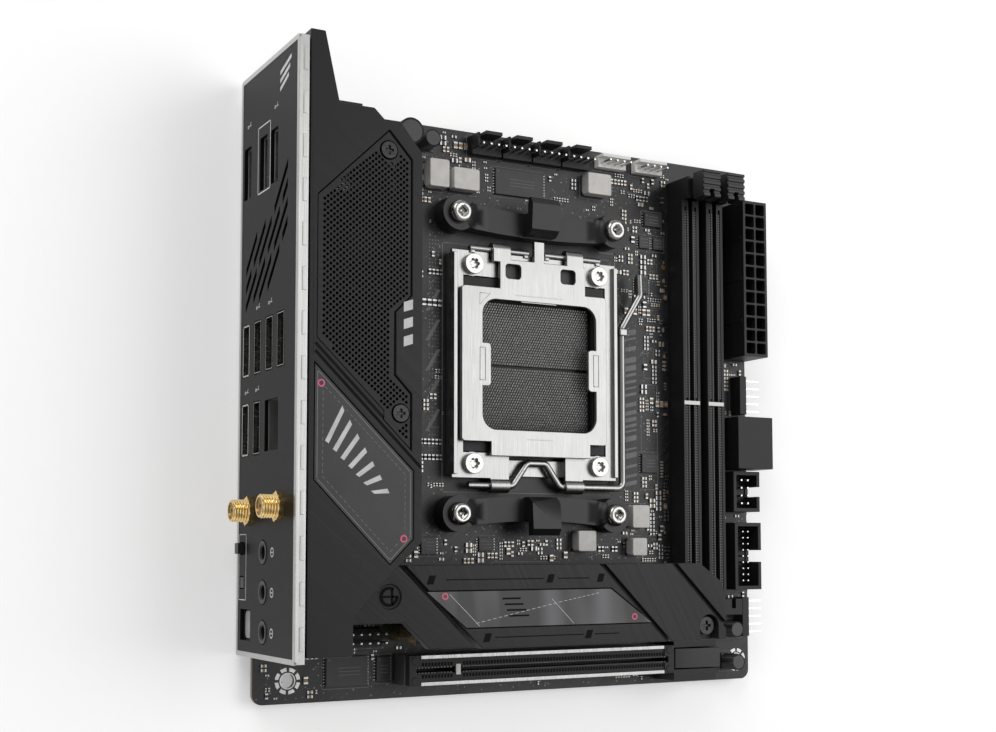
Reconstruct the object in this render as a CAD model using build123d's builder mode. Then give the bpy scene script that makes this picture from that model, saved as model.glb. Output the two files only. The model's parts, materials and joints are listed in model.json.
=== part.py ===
"""Small-form-factor computer motherboard, lying flat with its component side up.

+X runs from the rear connector panel to the front edge, +Y from the expansion
slot to the fan headers, +Z up. All positions below are in board coordinates:
x and y from the board's rear corner beside the expansion slot, z from the
board's component surface. The level, across_x and across_y planes carry them
to the model's frame, whose origin is the bottom centre of the whole part.
"""

import os
from build123d import *

os.makedirs("parts", exist_ok=True)

# ---- driving dimensions, mm -------------------------------------------------
BOARD = 170.18  # square board side
BOARD_THICK = 1.6
BOARD_CORNER = 3.0
HOLE_R = 1.98  # case mounting holes
HOLES = [(10.16, 6.35), (165.1, 6.35), (165.1, 163.83), (33.02, 163.83)]

REAR_REACH = 9.4  # antenna jacks stand out this far behind the board
FRONT_REACH = 173.8  # bent header pins end this far from the rear edge
COVER_REACH = 177.0  # the port cover's far end
UNDERSIDE = 4.4  # socket backplate's face below the component surface

SOCKET_X = 87.2  # processor socket centre
SOCKET_Y = 98.4
COOLER_DX = 54.0  # cooler fixing pattern
COOLER_DY = 90.0
CLAMP_DX = 43.8  # socket frame screw pattern
CLAMP_DY = 60.0

SHIELD_OUT = -4.0  # outer face of the rear shield
SHIELD_LOW = -2.3
SHIELD_HIGH = 44.7
SHIELD_NEAR = 14.0
SHIELD_FAR = 175.0
RIM = 1.4  # bright border around the shield plate

DECK_TOP = 44.0  # top of the port cover
DECK_WALL = 1.6
DECK_PLATE = 2.6
WING_TOP = 34.0  # top of the drive cover and of the cover's wing
STRIP_LOW = 15.6  # near edge of the drive cover
STRIP_HIGH = 38.6  # far edge of the drive cover

SLOT_XS = [142.5, 152.0]  # memory slot centre lines
SLOT_W = 6.6
SLOT_END = 22.0
SLOT_LEN = 134.0
EXPANSION_Y = 8.4  # expansion slot centre line

SHIFT_X = (REAR_REACH - FRONT_REACH) / 2
SHIFT_Y = -COVER_REACH / 2


def level(height):
    """Horizontal plane at a height above the board; local x, y are board x, y."""
    return Plane(origin=(SHIFT_X, SHIFT_Y, UNDERSIDE + height))


def across_x(x):
    """Plane facing +X; local x, y are board y, z. Extruding goes towards the front edge."""
    return Plane(origin=(SHIFT_X + x, SHIFT_Y, UNDERSIDE), x_dir=(0, 1, 0), z_dir=(1, 0, 0))


def across_y(y):
    """Plane facing -Y; local x, y are board x, z. Extruding goes towards the expansion slot."""
    return Plane(origin=(SHIFT_X, SHIFT_Y + y, UNDERSIDE), x_dir=(1, 0, 0), z_dir=(0, -1, 0))


def area(x0, x1, y0, y1, mode=Mode.ADD):
    """Rectangle between two corners, in the sketch being built."""
    with Locations(((x0 + x1) / 2, (y0 + y1) / 2)):
        Rectangle(x1 - x0, y1 - y0, mode=mode)


def brick(x0, x1, y0, y1, z0, z1, mode=Mode.ADD):
    """Rectangular block between two corners, in the part being built."""
    with BuildSketch(level(z0)) as outline:
        area(x0, x1, y0, y1)
    extrude(outline.sketch, amount=z1 - z0, mode=mode)


def rod(x, y, radius, z0, z1, mode=Mode.ADD):
    """Upright cylinder, in the part being built."""
    with BuildSketch(level(z0)) as outline:
        with Locations((x, y)):
            Circle(radius)
    extrude(outline.sketch, amount=z1 - z0, mode=mode)


def plate(points, z0, z1, inset=0.0, mode=Mode.ADD):
    """Flat plate with a straight-sided outline, in the part being built."""
    with BuildSketch(level(z0)) as outline:
        with BuildLine():
            Polyline(*points, close=True)
        make_face()
        if inset:
            offset(amount=-inset, kind=Kind.INTERSECTION, mode=Mode.REPLACE)
    extrude(outline.sketch, amount=z1 - z0, mode=mode)


def groove(start, end, width, z_top, depth):
    """Straight channel between two points, cut in the part being built."""
    run = Vector(end[0] - start[0], end[1] - start[1])
    side = Vector(-run.Y, run.X).normalized() * (width / 2)
    corners = [
        (start[0] + side.X, start[1] + side.Y),
        (end[0] + side.X, end[1] + side.Y),
        (end[0] - side.X, end[1] - side.Y),
        (start[0] - side.X, start[1] - side.Y),
    ]
    plate(corners, z_top - depth, z_top, mode=Mode.SUBTRACT)


def keep(piece, label):
    """Label a finished piece and write its file."""
    piece.part.label = label
    export_step(piece.part, f"parts/{label}.step")


def corners_of(dx, dy):
    """Four corners of a pattern about the processor socket's centre."""
    return [
        (SOCKET_X + sx * dx / 2, SOCKET_Y + sy * dy / 2)
        for sx in (-1, 1)
        for sy in (-1, 1)
    ]


COOLER_HOLES = corners_of(COOLER_DX, COOLER_DY)
CLAMP_HOLES = corners_of(CLAMP_DX, CLAMP_DY)
POST_R = 2.1  # backplate posts in the board's cooler holes


# ---- circuit board ----------------------------------------------------------
with BuildPart() as circuit_board:
    with BuildSketch(level(-BOARD_THICK)):
        with Locations((BOARD / 2, BOARD / 2)):
            RectangleRounded(BOARD, BOARD, BOARD_CORNER)
        with Locations(*HOLES):
            Circle(HOLE_R, mode=Mode.SUBTRACT)
        with Locations(*COOLER_HOLES):
            Circle(POST_R + 0.15, mode=Mode.SUBTRACT)
        with Locations(*CLAMP_HOLES):
            Circle(1.9, mode=Mode.SUBTRACT)
    extrude(amount=BOARD_THICK)
keep(circuit_board, "circuit_board")


# ---- rear shield ------------------------------------------------------------
PORT_WIDTH = 14.6
PORT_HEIGHT = 6.0
PORTS_FAR = [(147.5, 3.4), (147.5, 17.0), (147.5, 25.6)]
PORTS_MIDDLE = [(97.6, 3.8), (97.6, 13.4), (97.6, 22.9), (97.6, 32.0)]
PORTS_NEAR = [(75.7, 3.6), (75.7, 13.2)]
PORTS = PORTS_FAR + PORTS_MIDDLE + PORTS_NEAR
NETWORK_Y = 75.7
NETWORK_Z = 25.3
NETWORK_W = 13.6
NETWORK_H = 10.6
JACKS = [(42.2, 19.6), (31.7, 19.8), (21.2, 20.0)]
JACK_R = 3.1
JACK_BORE_R = 1.8
ANTENNAS = [(53.4, 8.9), (54.0, 32.6)]
ANTENNA_R = 3.15
LIGHT_PORT = (22.6, 5.3)
LIGHT_PORT_SIZE = 8.0
BUTTONS = [(43.3, 2.2), (34.0, 2.2)]
BUTTON_SIZE = 3.2
VENT_LOW = 3.0
VENT_NEAR = 107.6
VENT_FAR = 125.5
SLIT_COUNT = 11
SLIT_FIRST = 79.5
SLIT_PITCH = 5.0
SLIT_HALF = 1.1
SLIT_RUNS = [
    [(3.0, 12.0), (14.2, 24.0), (26.2, 36.5)],
    [(3.0, 7.4), (9.6, 19.0), (21.2, 30.4), (32.6, 36.5)],
]
PLATE_OUT = SHIELD_OUT + 0.1
PLATE_IN = PLATE_OUT + 1.0

with BuildPart() as shield_rim:
    mid_y = (SHIELD_NEAR + SHIELD_FAR) / 2
    mid_z = (SHIELD_LOW + SHIELD_HIGH) / 2
    long_side = SHIELD_FAR - SHIELD_NEAR
    tall_side = SHIELD_HIGH - SHIELD_LOW
    with BuildSketch(across_x(SHIELD_OUT)):
        with Locations((mid_y, mid_z)):
            RectangleRounded(long_side, tall_side, 1.0)
            Rectangle(long_side - 2 * RIM, tall_side - 2 * RIM, mode=Mode.SUBTRACT)
    extrude(amount=0.6)
    with BuildSketch(across_x(SHIELD_OUT + 0.6)):
        with Locations((mid_y, mid_z)):
            Rectangle(long_side - 0.3, tall_side - 0.3)
            Rectangle(long_side - 1.5, tall_side - 1.5, mode=Mode.SUBTRACT)
    extrude(amount=2.2)
    # spring fingers pressed out of the long flanges
    with BuildSketch(across_x(SHIELD_OUT + 1.3)):
        with Locations((mid_y, mid_z)):
            with GridLocations(11.4, tall_side - 0.2, 14, 2):
                Rectangle(6.0, 0.2)
    extrude(amount=1.1)
keep(shield_rim, "shield_rim")

with BuildPart() as shield_plate:
    with BuildSketch(across_x(PLATE_OUT)):
        area(SHIELD_NEAR + RIM, SHIELD_FAR - RIM, SHIELD_LOW + RIM, SHIELD_HIGH - RIM)
        for port_y, port_z in PORTS:
            with Locations((port_y, port_z)):
                RectangleRounded(PORT_WIDTH, PORT_HEIGHT, 0.6, mode=Mode.SUBTRACT)
        with Locations((NETWORK_Y, NETWORK_Z)):
            Rectangle(NETWORK_W, NETWORK_H, mode=Mode.SUBTRACT)
        with Locations(*JACKS):
            Circle(JACK_R + 0.2, mode=Mode.SUBTRACT)
        with Locations(*ANTENNAS):
            Circle(ANTENNA_R + 0.1, mode=Mode.SUBTRACT)
        with Locations(LIGHT_PORT):
            Rectangle(LIGHT_PORT_SIZE + 0.4, LIGHT_PORT_SIZE + 0.4, mode=Mode.SUBTRACT)
        with Locations(*BUTTONS):
            Rectangle(BUTTON_SIZE + 0.3, BUTTON_SIZE + 0.3, mode=Mode.SUBTRACT)
    extrude(amount=PLATE_IN - PLATE_OUT)
    # diagonal air slits in staggered lengths, within a slanted field
    with BuildSketch(across_x(PLATE_OUT)):
        for slit in range(SLIT_COUNT):
            foot = SLIT_FIRST + slit * SLIT_PITCH - VENT_LOW
            for low, high in SLIT_RUNS[slit % 2]:
                mid = (low + high) / 2
                near = VENT_NEAR + 0.39 * (mid - VENT_LOW)
                far = VENT_FAR + 0.48 * (mid - VENT_LOW)
                if near < foot + mid < far:
                    with BuildLine():
                        Polyline(
                            (foot + low - SLIT_HALF, low),
                            (foot + low + SLIT_HALF, low),
                            (foot + high + SLIT_HALF, high),
                            (foot + high - SLIT_HALF, high),
                            close=True,
                        )
                    make_face()
    extrude(amount=PLATE_IN - PLATE_OUT, mode=Mode.SUBTRACT)
keep(shield_plate, "shield_plate")


# ---- rear connectors --------------------------------------------------------
SHELL = 0.5
PORT_FRONT = PLATE_IN + 0.1


def port_shell(ports, depth, extra_side=1.0):
    """Metal can around a stack of flat ports, standing on the board, open to the rear."""
    port_y = ports[0][0]
    top = ports[-1][1] + PORT_HEIGHT / 2 + SHELL
    half = PORT_WIDTH / 2 + extra_side
    with BuildSketch(across_x(PORT_FRONT)) as outline:
        area(port_y - half, port_y + half, 0.0, top)
    extrude(outline.sketch, amount=depth)
    with BuildSketch(across_x(PORT_FRONT)) as outline:
        with Locations(*ports):
            Rectangle(PORT_WIDTH - 0.6, PORT_HEIGHT - 0.6)
    extrude(outline.sketch, amount=depth - 2.0, mode=Mode.SUBTRACT)


def port_tongues(ports, depth, width, thick, rise):
    """Contact tongues standing on the back wall of each port in a stack."""
    with BuildSketch(across_x(PORT_FRONT + 0.8)) as outline:
        for port_y, port_z in ports:
            with Locations((port_y, port_z + rise)):
                Rectangle(width, thick)
    extrude(outline.sketch, amount=depth - 2.8)


with BuildPart() as video_usb_shell:
    port_shell(PORTS_FAR, 19.0)
keep(video_usb_shell, "video_usb_shell")

with BuildPart() as usb_stack_shell:
    port_shell(PORTS_MIDDLE, 18.0)
keep(usb_stack_shell, "usb_stack_shell")

with BuildPart() as network_usb_shell:
    port_shell(PORTS_NEAR, 21.0)
    stack_top = PORTS_NEAR[-1][1] + PORT_HEIGHT / 2 + SHELL
    with BuildSketch(across_x(PORT_FRONT)):
        area(NETWORK_Y - 8.3, NETWORK_Y + 8.3, stack_top, NETWORK_Z + 6.6)
    extrude(amount=21.0)
    with BuildSketch(across_x(PORT_FRONT)):
        with Locations((NETWORK_Y, NETWORK_Z)):
            Rectangle(NETWORK_W, NETWORK_H)
    extrude(amount=15.0, mode=Mode.SUBTRACT)
keep(network_usb_shell, "network_usb_shell")

with BuildPart() as port_tongue_set:
    port_tongues(PORTS_FAR[:1], 19.0, 10.6, 1.2, 0.0)
    port_tongues(PORTS_FAR[1:], 19.0, 11.2, 1.8, 1.0)
    port_tongues(PORTS_MIDDLE, 18.0, 11.2, 1.8, 1.0)
    port_tongues(PORTS_NEAR, 21.0, 11.2, 1.8, 1.0)
keep(port_tongue_set, "port_tongues")

with BuildPart() as antenna_jacks:
    for jack_y, jack_z in ANTENNAS:
        with BuildSketch(across_x(-REAR_REACH)):
            with Locations((jack_y, jack_z)):
                Circle(ANTENNA_R)
        extrude(amount=REAR_REACH + 3.0)
        # ring nut with two flats, against the shield
        with BuildSketch(across_x(SHIELD_OUT - 1.5)):
            with Locations((jack_y, jack_z)):
                RegularPolygon(4.4, 6)
        extrude(amount=1.5)
        with BuildSketch(across_x(PLATE_IN)):
            with Locations((jack_y, jack_z)):
                Rectangle(8.0, 6.4)
        extrude(amount=3.0)
        with BuildSketch(across_x(-REAR_REACH)):
            with Locations((jack_y, jack_z)):
                Circle(2.3)
                Circle(0.65, mode=Mode.SUBTRACT)
        extrude(amount=4.0, mode=Mode.SUBTRACT)
keep(antenna_jacks, "antenna_jacks")

with BuildPart() as wireless_module:
    brick(2.0, 21.0, 60.0, 61.0, 0.0, 30.0)
    brick(4.0, 19.0, 57.8, 60.0, 10.0, 28.0)
    brick(1.5, 21.5, 61.0, 63.0, 0.0, 6.0)
keep(wireless_module, "wireless_module")

JACK_BACK = 12.5
JACK_LOW = 13.2
JACK_TOP = 25.6
# each leg's near side, far side and foot height; the last stands on the optical port
JACK_LEGS = [(44.9, 47.2, 0.0), (28.4, 29.6, 0.0), (19.0, 24.0, 10.6)]
with BuildPart() as audio_jacks:
    for (jack_y, jack_z), (leg_near, leg_far, leg_foot) in zip(JACKS, JACK_LEGS):
        brick(PORT_FRONT, JACK_BACK, jack_y - 5.1, jack_y + 5.1, JACK_LOW, JACK_TOP)
        brick(1.0, 10.6, leg_near, leg_far, leg_foot, JACK_LOW)
    with BuildSketch(across_x(PLATE_OUT - 0.2)):
        with Locations(*JACKS):
            Circle(JACK_R)
    extrude(amount=PORT_FRONT - PLATE_OUT + 0.2)
    with BuildSketch(across_x(PLATE_OUT - 0.2)):
        with Locations(*JACKS):
            Circle(JACK_BORE_R)
    extrude(amount=14.0, mode=Mode.SUBTRACT)
    mouths = audio_jacks.edges().filter_by(GeomType.CIRCLE).filter_by(
        lambda edge: abs(edge.radius - JACK_BORE_R) < 0.01
    )
    chamfer(mouths.group_by(Axis.X)[0], length=0.4)
keep(audio_jacks, "audio_jacks")

with BuildPart() as light_port:
    brick(PORT_FRONT, 11.0, LIGHT_PORT[0] - 5.4, LIGHT_PORT[0] + 5.4, 0.0, 10.6)
    with BuildSketch(across_x(PORT_FRONT)):
        with Locations(LIGHT_PORT):
            Rectangle(LIGHT_PORT_SIZE, LIGHT_PORT_SIZE)
    extrude(amount=9.0, mode=Mode.SUBTRACT)
keep(light_port, "light_port")

# hinged dust shutter just inside the optical port's mouth
SHUTTER_X = PORT_FRONT + 0.2
with BuildPart() as light_shutter:
    with BuildSketch(across_x(SHUTTER_X)):
        with Locations(LIGHT_PORT):
            RectangleRounded(LIGHT_PORT_SIZE - 0.5, LIGHT_PORT_SIZE - 0.5, 1.6)
    extrude(amount=0.8)
keep(light_shutter, "light_shutter")

with BuildPart() as button_housing:
    brick(1.6, 8.0, 29.9, 44.6, 0.0, 5.2)
keep(button_housing, "button_housing")

BUTTON_NAMES = ["rear_button_1", "rear_button_2"]
for name, (button_y, button_z) in zip(BUTTON_NAMES, BUTTONS):
    proud = 1.7 if name == "rear_button_1" else 0.0
    with BuildPart() as rear_button:
        with BuildSketch(across_x(PLATE_OUT - proud)):
            with Locations((button_y, button_z)):
                Rectangle(BUTTON_SIZE - 0.2, BUTTON_SIZE - 0.2)
        extrude(amount=proud + 4.2)
    keep(rear_button, name)


# ---- port cover -------------------------------------------------------------
DECK = [
    (-0.6, 177.0),
    (3.4, 177.0),
    (7.4, 158.7),
    (17.1, 158.7),
    (20.0, 156.0),
    (24.6, 156.0),
    (31.0, 148.0),
    (31.0, 44.6),
    (24.4, 38.4),
    (12.0, 25.6),
    (12.0, 15.6),
    (-0.6, 15.6),
]
GRILLE = [
    (21.4, 153.4),
    (28.0, 146.1),
    (28.0, 109.6),
    (23.4, 105.0),
    (23.4, 88.4),
    (28.0, 83.6),
    (28.0, 68.6),
    (20.1, 76.5),
    (20.1, 78.9),
    (1.6, 96.9),
    (1.6, 134.0),
]
BADGE = [
    (1.0, 90.6),
    (28.6, 63.4),
    (28.6, 45.4),
    (22.0, 38.8),
    (1.0, 60.4),
]
WING = [
    (12.0, 23.2),
    (30.7, 23.2),
    (37.9, 16.0),
    (51.4, 16.0),
    (29.0, 38.4),
    (24.4, 38.4),
    (12.0, 25.6),
]
DECK_LOW = 30.0
GRILLE_FLOOR = DECK_TOP - 2.0
BADGE_FLOOR = DECK_TOP - 0.9
EMBLEM = (26.3, 30.3)

with BuildPart() as port_cover:
    plate(DECK, DECK_LOW, DECK_TOP)
    plate(DECK, DECK_LOW, DECK_TOP - DECK_PLATE, inset=DECK_WALL, mode=Mode.SUBTRACT)
    # the wall over the rear connectors stops above them
    brick(-0.6, 1.0, 16.0, 176.0, DECK_LOW, 36.0, mode=Mode.SUBTRACT)
    plate(WING, WING_TOP - 3.0, WING_TOP)
    # stepped seat for the perforated grille
    plate(GRILLE, GRILLE_FLOOR, DECK_TOP, mode=Mode.SUBTRACT)
    plate(GRILLE, GRILLE_FLOOR - 1.0, DECK_TOP, inset=1.0, mode=Mode.SUBTRACT)
    plate(BADGE, BADGE_FLOOR, DECK_TOP, mode=Mode.SUBTRACT)
    groove((1.2, 95.4), (26.6, 70.4), 0.5, DECK_TOP, 0.4)
    groove((1.2, 93.4), (31.0, 63.9), 0.5, DECK_TOP, 0.4)
    rod(EMBLEM[0], EMBLEM[1], 3.3, WING_TOP - 0.5, WING_TOP, mode=Mode.SUBTRACT)
keep(port_cover, "port_cover")

GRILLE_TOP = DECK_TOP - 0.5
GRILLE_SCREWS = [(21.4, 148.0), (25.0, 78.4)]
with BuildPart() as vent_grille:
    plate(GRILLE, GRILLE_FLOOR, GRILLE_TOP, inset=0.25)
    # ventilation slots under the perforated field
    with BuildSketch(level(GRILLE_FLOOR)):
        for row in range(10):
            with Locations((12.2, 98.0 + 3.9 * row)):
                SlotOverall(15.0, 2.0)
    extrude(amount=GRILLE_TOP - GRILLE_FLOOR, mode=Mode.SUBTRACT)
    with BuildSketch(level(GRILLE_TOP - 0.6)):
        with Locations(*GRILLE_SCREWS):
            Circle(2.6)
    extrude(amount=0.6, mode=Mode.SUBTRACT)
keep(vent_grille, "vent_grille")

with BuildPart() as cover_badge:
    plate(BADGE, BADGE_FLOOR, DECK_TOP - 0.15, inset=0.2)
keep(cover_badge, "cover_badge")


# ---- board power stage and its cooling -------------------------------------
SINK_NEAR = 50.0
SINK_FAR = 152.0
SINK_LOW = 3.4
SINK_TOP = 27.5
with BuildPart() as power_heatsink:
    brick(23.0, 38.0, SINK_NEAR, SINK_FAR, SINK_LOW, SINK_TOP)
    # fin gaps running from the cover to the socket side
    with BuildSketch(level(SINK_TOP - 17.0)):
        with Locations((30.5, (SINK_NEAR + SINK_FAR) / 2)):
            with GridLocations(1.0, 6.0, 1, 16):
                Rectangle(15.0, 3.4)
    extrude(amount=17.0, mode=Mode.SUBTRACT)
keep(power_heatsink, "power_heatsink")

FAN_X = 14.6
FAN_Y = 122.5
FAN_SIDE = 26.0
FAN_LOW = 30.6
FAN_HIGH = DECK_TOP - DECK_PLATE
with BuildPart() as fan_frame:
    with BuildSketch(level(FAN_LOW)):
        with Locations((FAN_X, FAN_Y)):
            RectangleRounded(FAN_SIDE, FAN_SIDE, 2.5)
            Circle(FAN_SIDE / 2 - 1.0, mode=Mode.SUBTRACT)
    extrude(amount=FAN_HIGH - FAN_LOW)
    # motor seat carried by three spokes
    with BuildSketch(level(FAN_LOW)):
        with Locations((FAN_X, FAN_Y)):
            Circle(4.6)
            with PolarLocations(FAN_SIDE / 4 + 1.2, 3):
                Rectangle(FAN_SIDE / 2 - 4.0, 1.6)
    extrude(amount=1.2)
    rod(FAN_X, FAN_Y, 1.0, FAN_LOW + 1.2, FAN_LOW + 6.0)
keep(fan_frame, "fan_frame")

with BuildPart() as fan_rotor:
    rod(FAN_X, FAN_Y, 4.6, FAN_LOW + 1.8, FAN_HIGH - 0.8)
    with BuildSketch(level(FAN_LOW + 2.2)):
        with Locations((FAN_X, FAN_Y)):
            with PolarLocations(7.7, 9):
                Rectangle(7.0, 0.9, rotation=28)
    extrude(amount=FAN_HIGH - FAN_LOW - 3.4)
    rod(FAN_X, FAN_Y, 1.05, FAN_LOW + 1.2, FAN_LOW + 6.4, mode=Mode.SUBTRACT)
keep(fan_rotor, "fan_rotor")


# ---- processor socket -------------------------------------------------------
def socket_area(half_x, half_y, mode=Mode.ADD):
    """Rectangle centred on the processor socket, in the sketch being built."""
    with Locations((SOCKET_X, SOCKET_Y)):
        Rectangle(2 * half_x, 2 * half_y, mode=mode)


FIELD_Z = 2.6  # contact surface
SEAT = 20.2  # half of the processor package, with its play
with BuildPart() as socket_base:
    with BuildSketch(level(0)):
        socket_area(24.6, 26.4)
    extrude(amount=4.4)
    with BuildSketch(level(FIELD_Z - 0.8)):
        socket_area(SEAT, SEAT)
    extrude(amount=3.0, mode=Mode.SUBTRACT)
    # finger gaps beside the package
    with BuildSketch(level(FIELD_Z)):
        with Locations((SOCKET_X, SOCKET_Y)):
            Rectangle(2 * SEAT + 5.0, 12.0)
    extrude(amount=2.0, mode=Mode.SUBTRACT)
keep(socket_base, "socket_base")

with BuildPart() as socket_contacts:
    with BuildSketch(level(FIELD_Z - 0.8)):
        with Locations((SOCKET_X, SOCKET_Y + 9.9), (SOCKET_X, SOCKET_Y - 9.9)):
            Rectangle(2 * SEAT - 1.0, 19.0)
    extrude(amount=0.8)
keep(socket_contacts, "socket_contacts")

FRAME_HALF_X = 28.6
FRAME_HALF_Y = 36.2
FRAME_LOW = 3.2
FRAME_TOP = 4.6
BAR_Y = 62.0  # lever's turning bar
BAR_Z = 3.4
BAR_R = 1.1
HINGE_Y = 133.4  # load plate's hinge line
HINGE_Z = 4.6
HINGE_R = 0.9
KNUCKLE_XS = [74.6, 100.6]
HOOK_XS = [74.4, 100.0]

with BuildPart() as socket_frame:
    with BuildSketch(level(FRAME_LOW)):
        socket_area(FRAME_HALF_X, FRAME_HALF_Y - 2.0)
        socket_area(24.8, 26.6, mode=Mode.SUBTRACT)
    extrude(amount=FRAME_TOP - FRAME_LOW)
    # side lips standing on the board
    with BuildSketch(level(0)):
        for side in (-1, 1):
            with Locations((SOCKET_X + side * (FRAME_HALF_X - 0.6), SOCKET_Y)):
                Rectangle(1.2, 2 * FRAME_HALF_Y - 6.0)
    extrude(amount=6.0)
    # bosses under the clamp screws
    with BuildSketch(level(0)):
        with Locations(*CLAMP_HOLES):
            Circle(3.6)
    extrude(amount=FRAME_TOP)
    with BuildSketch(level(0)):
        with Locations(*CLAMP_HOLES):
            Circle(1.75)
    extrude(amount=FRAME_TOP, mode=Mode.SUBTRACT)
    # gap for the lever's cam, bridged by a lower strip on the board
    cam_near = KNUCKLE_XS[0] + 3.2
    cam_far = KNUCKLE_XS[1] - 3.2
    brick(cam_near, cam_far, 60.0, SOCKET_Y - 26.5, FRAME_LOW - 1, FRAME_TOP + 1, mode=Mode.SUBTRACT)
    brick(KNUCKLE_XS[0] - 3.2, KNUCKLE_XS[1] + 3.2, 65.0, 70.0, 0.3, 1.5)
    for riser_x in KNUCKLE_XS:
        brick(riser_x - 3.2, riser_x + 3.2, 65.0, 70.0, 1.5, FRAME_LOW)
    # notches where the load plate's hooks turn
    for hook_x in HOOK_XS:
        brick(hook_x - 3.4, hook_x + 3.4, 130.6, 135.0, FRAME_LOW - 1, FRAME_TOP + 1, mode=Mode.SUBTRACT)
    # knuckles rolled over the lever's turning bar
    for knuckle_x in KNUCKLE_XS:
        with BuildSketch(across_x(knuckle_x - 3.2)):
            with Locations((BAR_Y, BAR_Z)):
                Circle(2.2)
            area(BAR_Y, SOCKET_Y - FRAME_HALF_Y + 3.0, FRAME_LOW, FRAME_TOP)
        extrude(amount=6.4)
        with BuildSketch(across_x(knuckle_x - 3.2)):
            with Locations((BAR_Y, BAR_Z)):
                Circle(BAR_R + 0.06)
        extrude(amount=6.4, mode=Mode.SUBTRACT)
    # two hinge bars for the load plate, bent up from the far rail
    for bar_x in HOOK_XS:
        with BuildSketch(across_x(bar_x - 10.0)):
            with Locations((HINGE_Y, HINGE_Z)):
                Circle(HINGE_R)
        extrude(amount=20.0)
        for end_x in (bar_x - 10.0, bar_x + 8.4):
            with BuildSketch(across_x(end_x)):
                area(SOCKET_Y + FRAME_HALF_Y - 2.7, HINGE_Y + 0.6, FRAME_LOW, HINGE_Z + 0.6)
            extrude(amount=1.6)
keep(socket_frame, "socket_frame")

PLATE_LOW = 5.4
PLATE_TOP = 6.8
with BuildPart() as load_plate:
    with BuildSketch(level(PLATE_LOW)):
        area(60.8, 111.2, 75.0, 121.6)
        area(70.6, 105.2, 70.8, 75.0)
        area(73.6, 103.6, 121.6, 130.6)
        # window over the processor, narrowed by a tab each side
        with Locations((SOCKET_X + 0.4, SOCKET_Y)):
            RectangleRounded(39.6, 39.4, 4.6, mode=Mode.SUBTRACT)
        for side in (-1, 1):
            with Locations((SOCKET_X + 0.4 + side * 19.2, SOCKET_Y - 0.2)):
                RectangleRounded(4.4, 13.0, 1.2)
        # relief slots near the hinge
        with Locations((78.2, 127.0), (97.4, 127.0)):
            RectangleRounded(5.2, 4.4, 1.0, mode=Mode.SUBTRACT)
    extrude(amount=PLATE_TOP - PLATE_LOW)
    # hooks that wrap the hinge bars
    for hook_x in HOOK_XS:
        with BuildSketch(across_x(hook_x - 3.0)):
            with Locations((HINGE_Y, HINGE_Z)):
                Circle(2.2)
            area(129.6, HINGE_Y, PLATE_LOW, PLATE_TOP)
            with Locations((HINGE_Y, HINGE_Z)):
                Circle(HINGE_R + 0.06, mode=Mode.SUBTRACT)
        extrude(amount=6.0)
    # centre tongue between the two hooks
    with BuildSketch(level(PLATE_LOW)):
        area(85.4, 89.0, 130.6, 137.0)
    extrude(amount=PLATE_TOP - PLATE_LOW)
    # down-turned nose under the lever's cam
    with BuildSketch(level(PLATE_LOW - 0.5)):
        area(76.0, 98.4, 70.8, 72.0)
    extrude(amount=0.5)
    corner_edges = load_plate.edges().filter_by(Axis.Z).filter_by_position(
        Axis.Y, SHIFT_Y + 72.0, SHIFT_Y + 124.0
    )
    outer_corners = corner_edges.group_by(Axis.X)[0] + corner_edges.group_by(Axis.X)[-1]
    fillet(outer_corners, radius=1.2)
keep(load_plate, "load_plate")

with BuildPart() as clamp_screws:
    for screw_x, screw_y in CLAMP_HOLES:
        rod(screw_x, screw_y, 3.1, FRAME_TOP, FRAME_TOP + 1.8)
        rod(screw_x, screw_y, 1.7, -3.6, FRAME_TOP)
        with BuildSketch(level(FRAME_TOP + 0.6)):
            with Locations((screw_x, screw_y)):
                Circle(1.1)
                with PolarLocations(1.15, 6):
                    Circle(0.45)
        extrude(amount=1.2, mode=Mode.SUBTRACT)
keep(clamp_screws, "clamp_screws")

ARM_X = 118.9
with BuildPart() as socket_lever:
    with BuildLine() as lever_path:
        FilletPolyline(
            level(BAR_Z).from_local_coords((64.4, BAR_Y)),
            level(BAR_Z).from_local_coords((79.4, BAR_Y)),
            level(BAR_Z).from_local_coords((84.4, BAR_Y + 7.0)),
            level(BAR_Z).from_local_coords((91.0, BAR_Y + 7.0)),
            level(BAR_Z).from_local_coords((96.0, BAR_Y)),
            level(BAR_Z).from_local_coords((ARM_X, BAR_Y)),
            level(BAR_Z).from_local_coords((ARM_X, 113.0)),
            level(BAR_Z + 1.2).from_local_coords((125.2, 124.0)),
            level(BAR_Z + 2.6).from_local_coords((124.0, 130.4)),
            radius=2.2,
        )
    with BuildSketch(across_x(64.4)):
        with Locations((BAR_Y, BAR_Z)):
            Circle(BAR_R)
    sweep(path=lever_path.line)
keep(socket_lever, "socket_lever")

with BuildPart() as backplate:
    with BuildSketch(level(-UNDERSIDE)):
        with Locations((SOCKET_X, SOCKET_Y)):
            RectangleRounded(COOLER_DX + 12.0, COOLER_DY + 12.0, 6.0)
            RectangleRounded(26.0, 26.0, 3.0, mode=Mode.SUBTRACT)
    extrude(amount=2.3)
    for hole_x, hole_y in COOLER_HOLES:
        rod(hole_x, hole_y, POST_R, -2.1, 0.0)
        rod(hole_x, hole_y, 1.55, -UNDERSIDE, 0.0, mode=Mode.SUBTRACT)
    for hole_x, hole_y in CLAMP_HOLES:
        rod(hole_x, hole_y, 1.75, -UNDERSIDE, -2.1, mode=Mode.SUBTRACT)
keep(backplate, "backplate")

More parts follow.
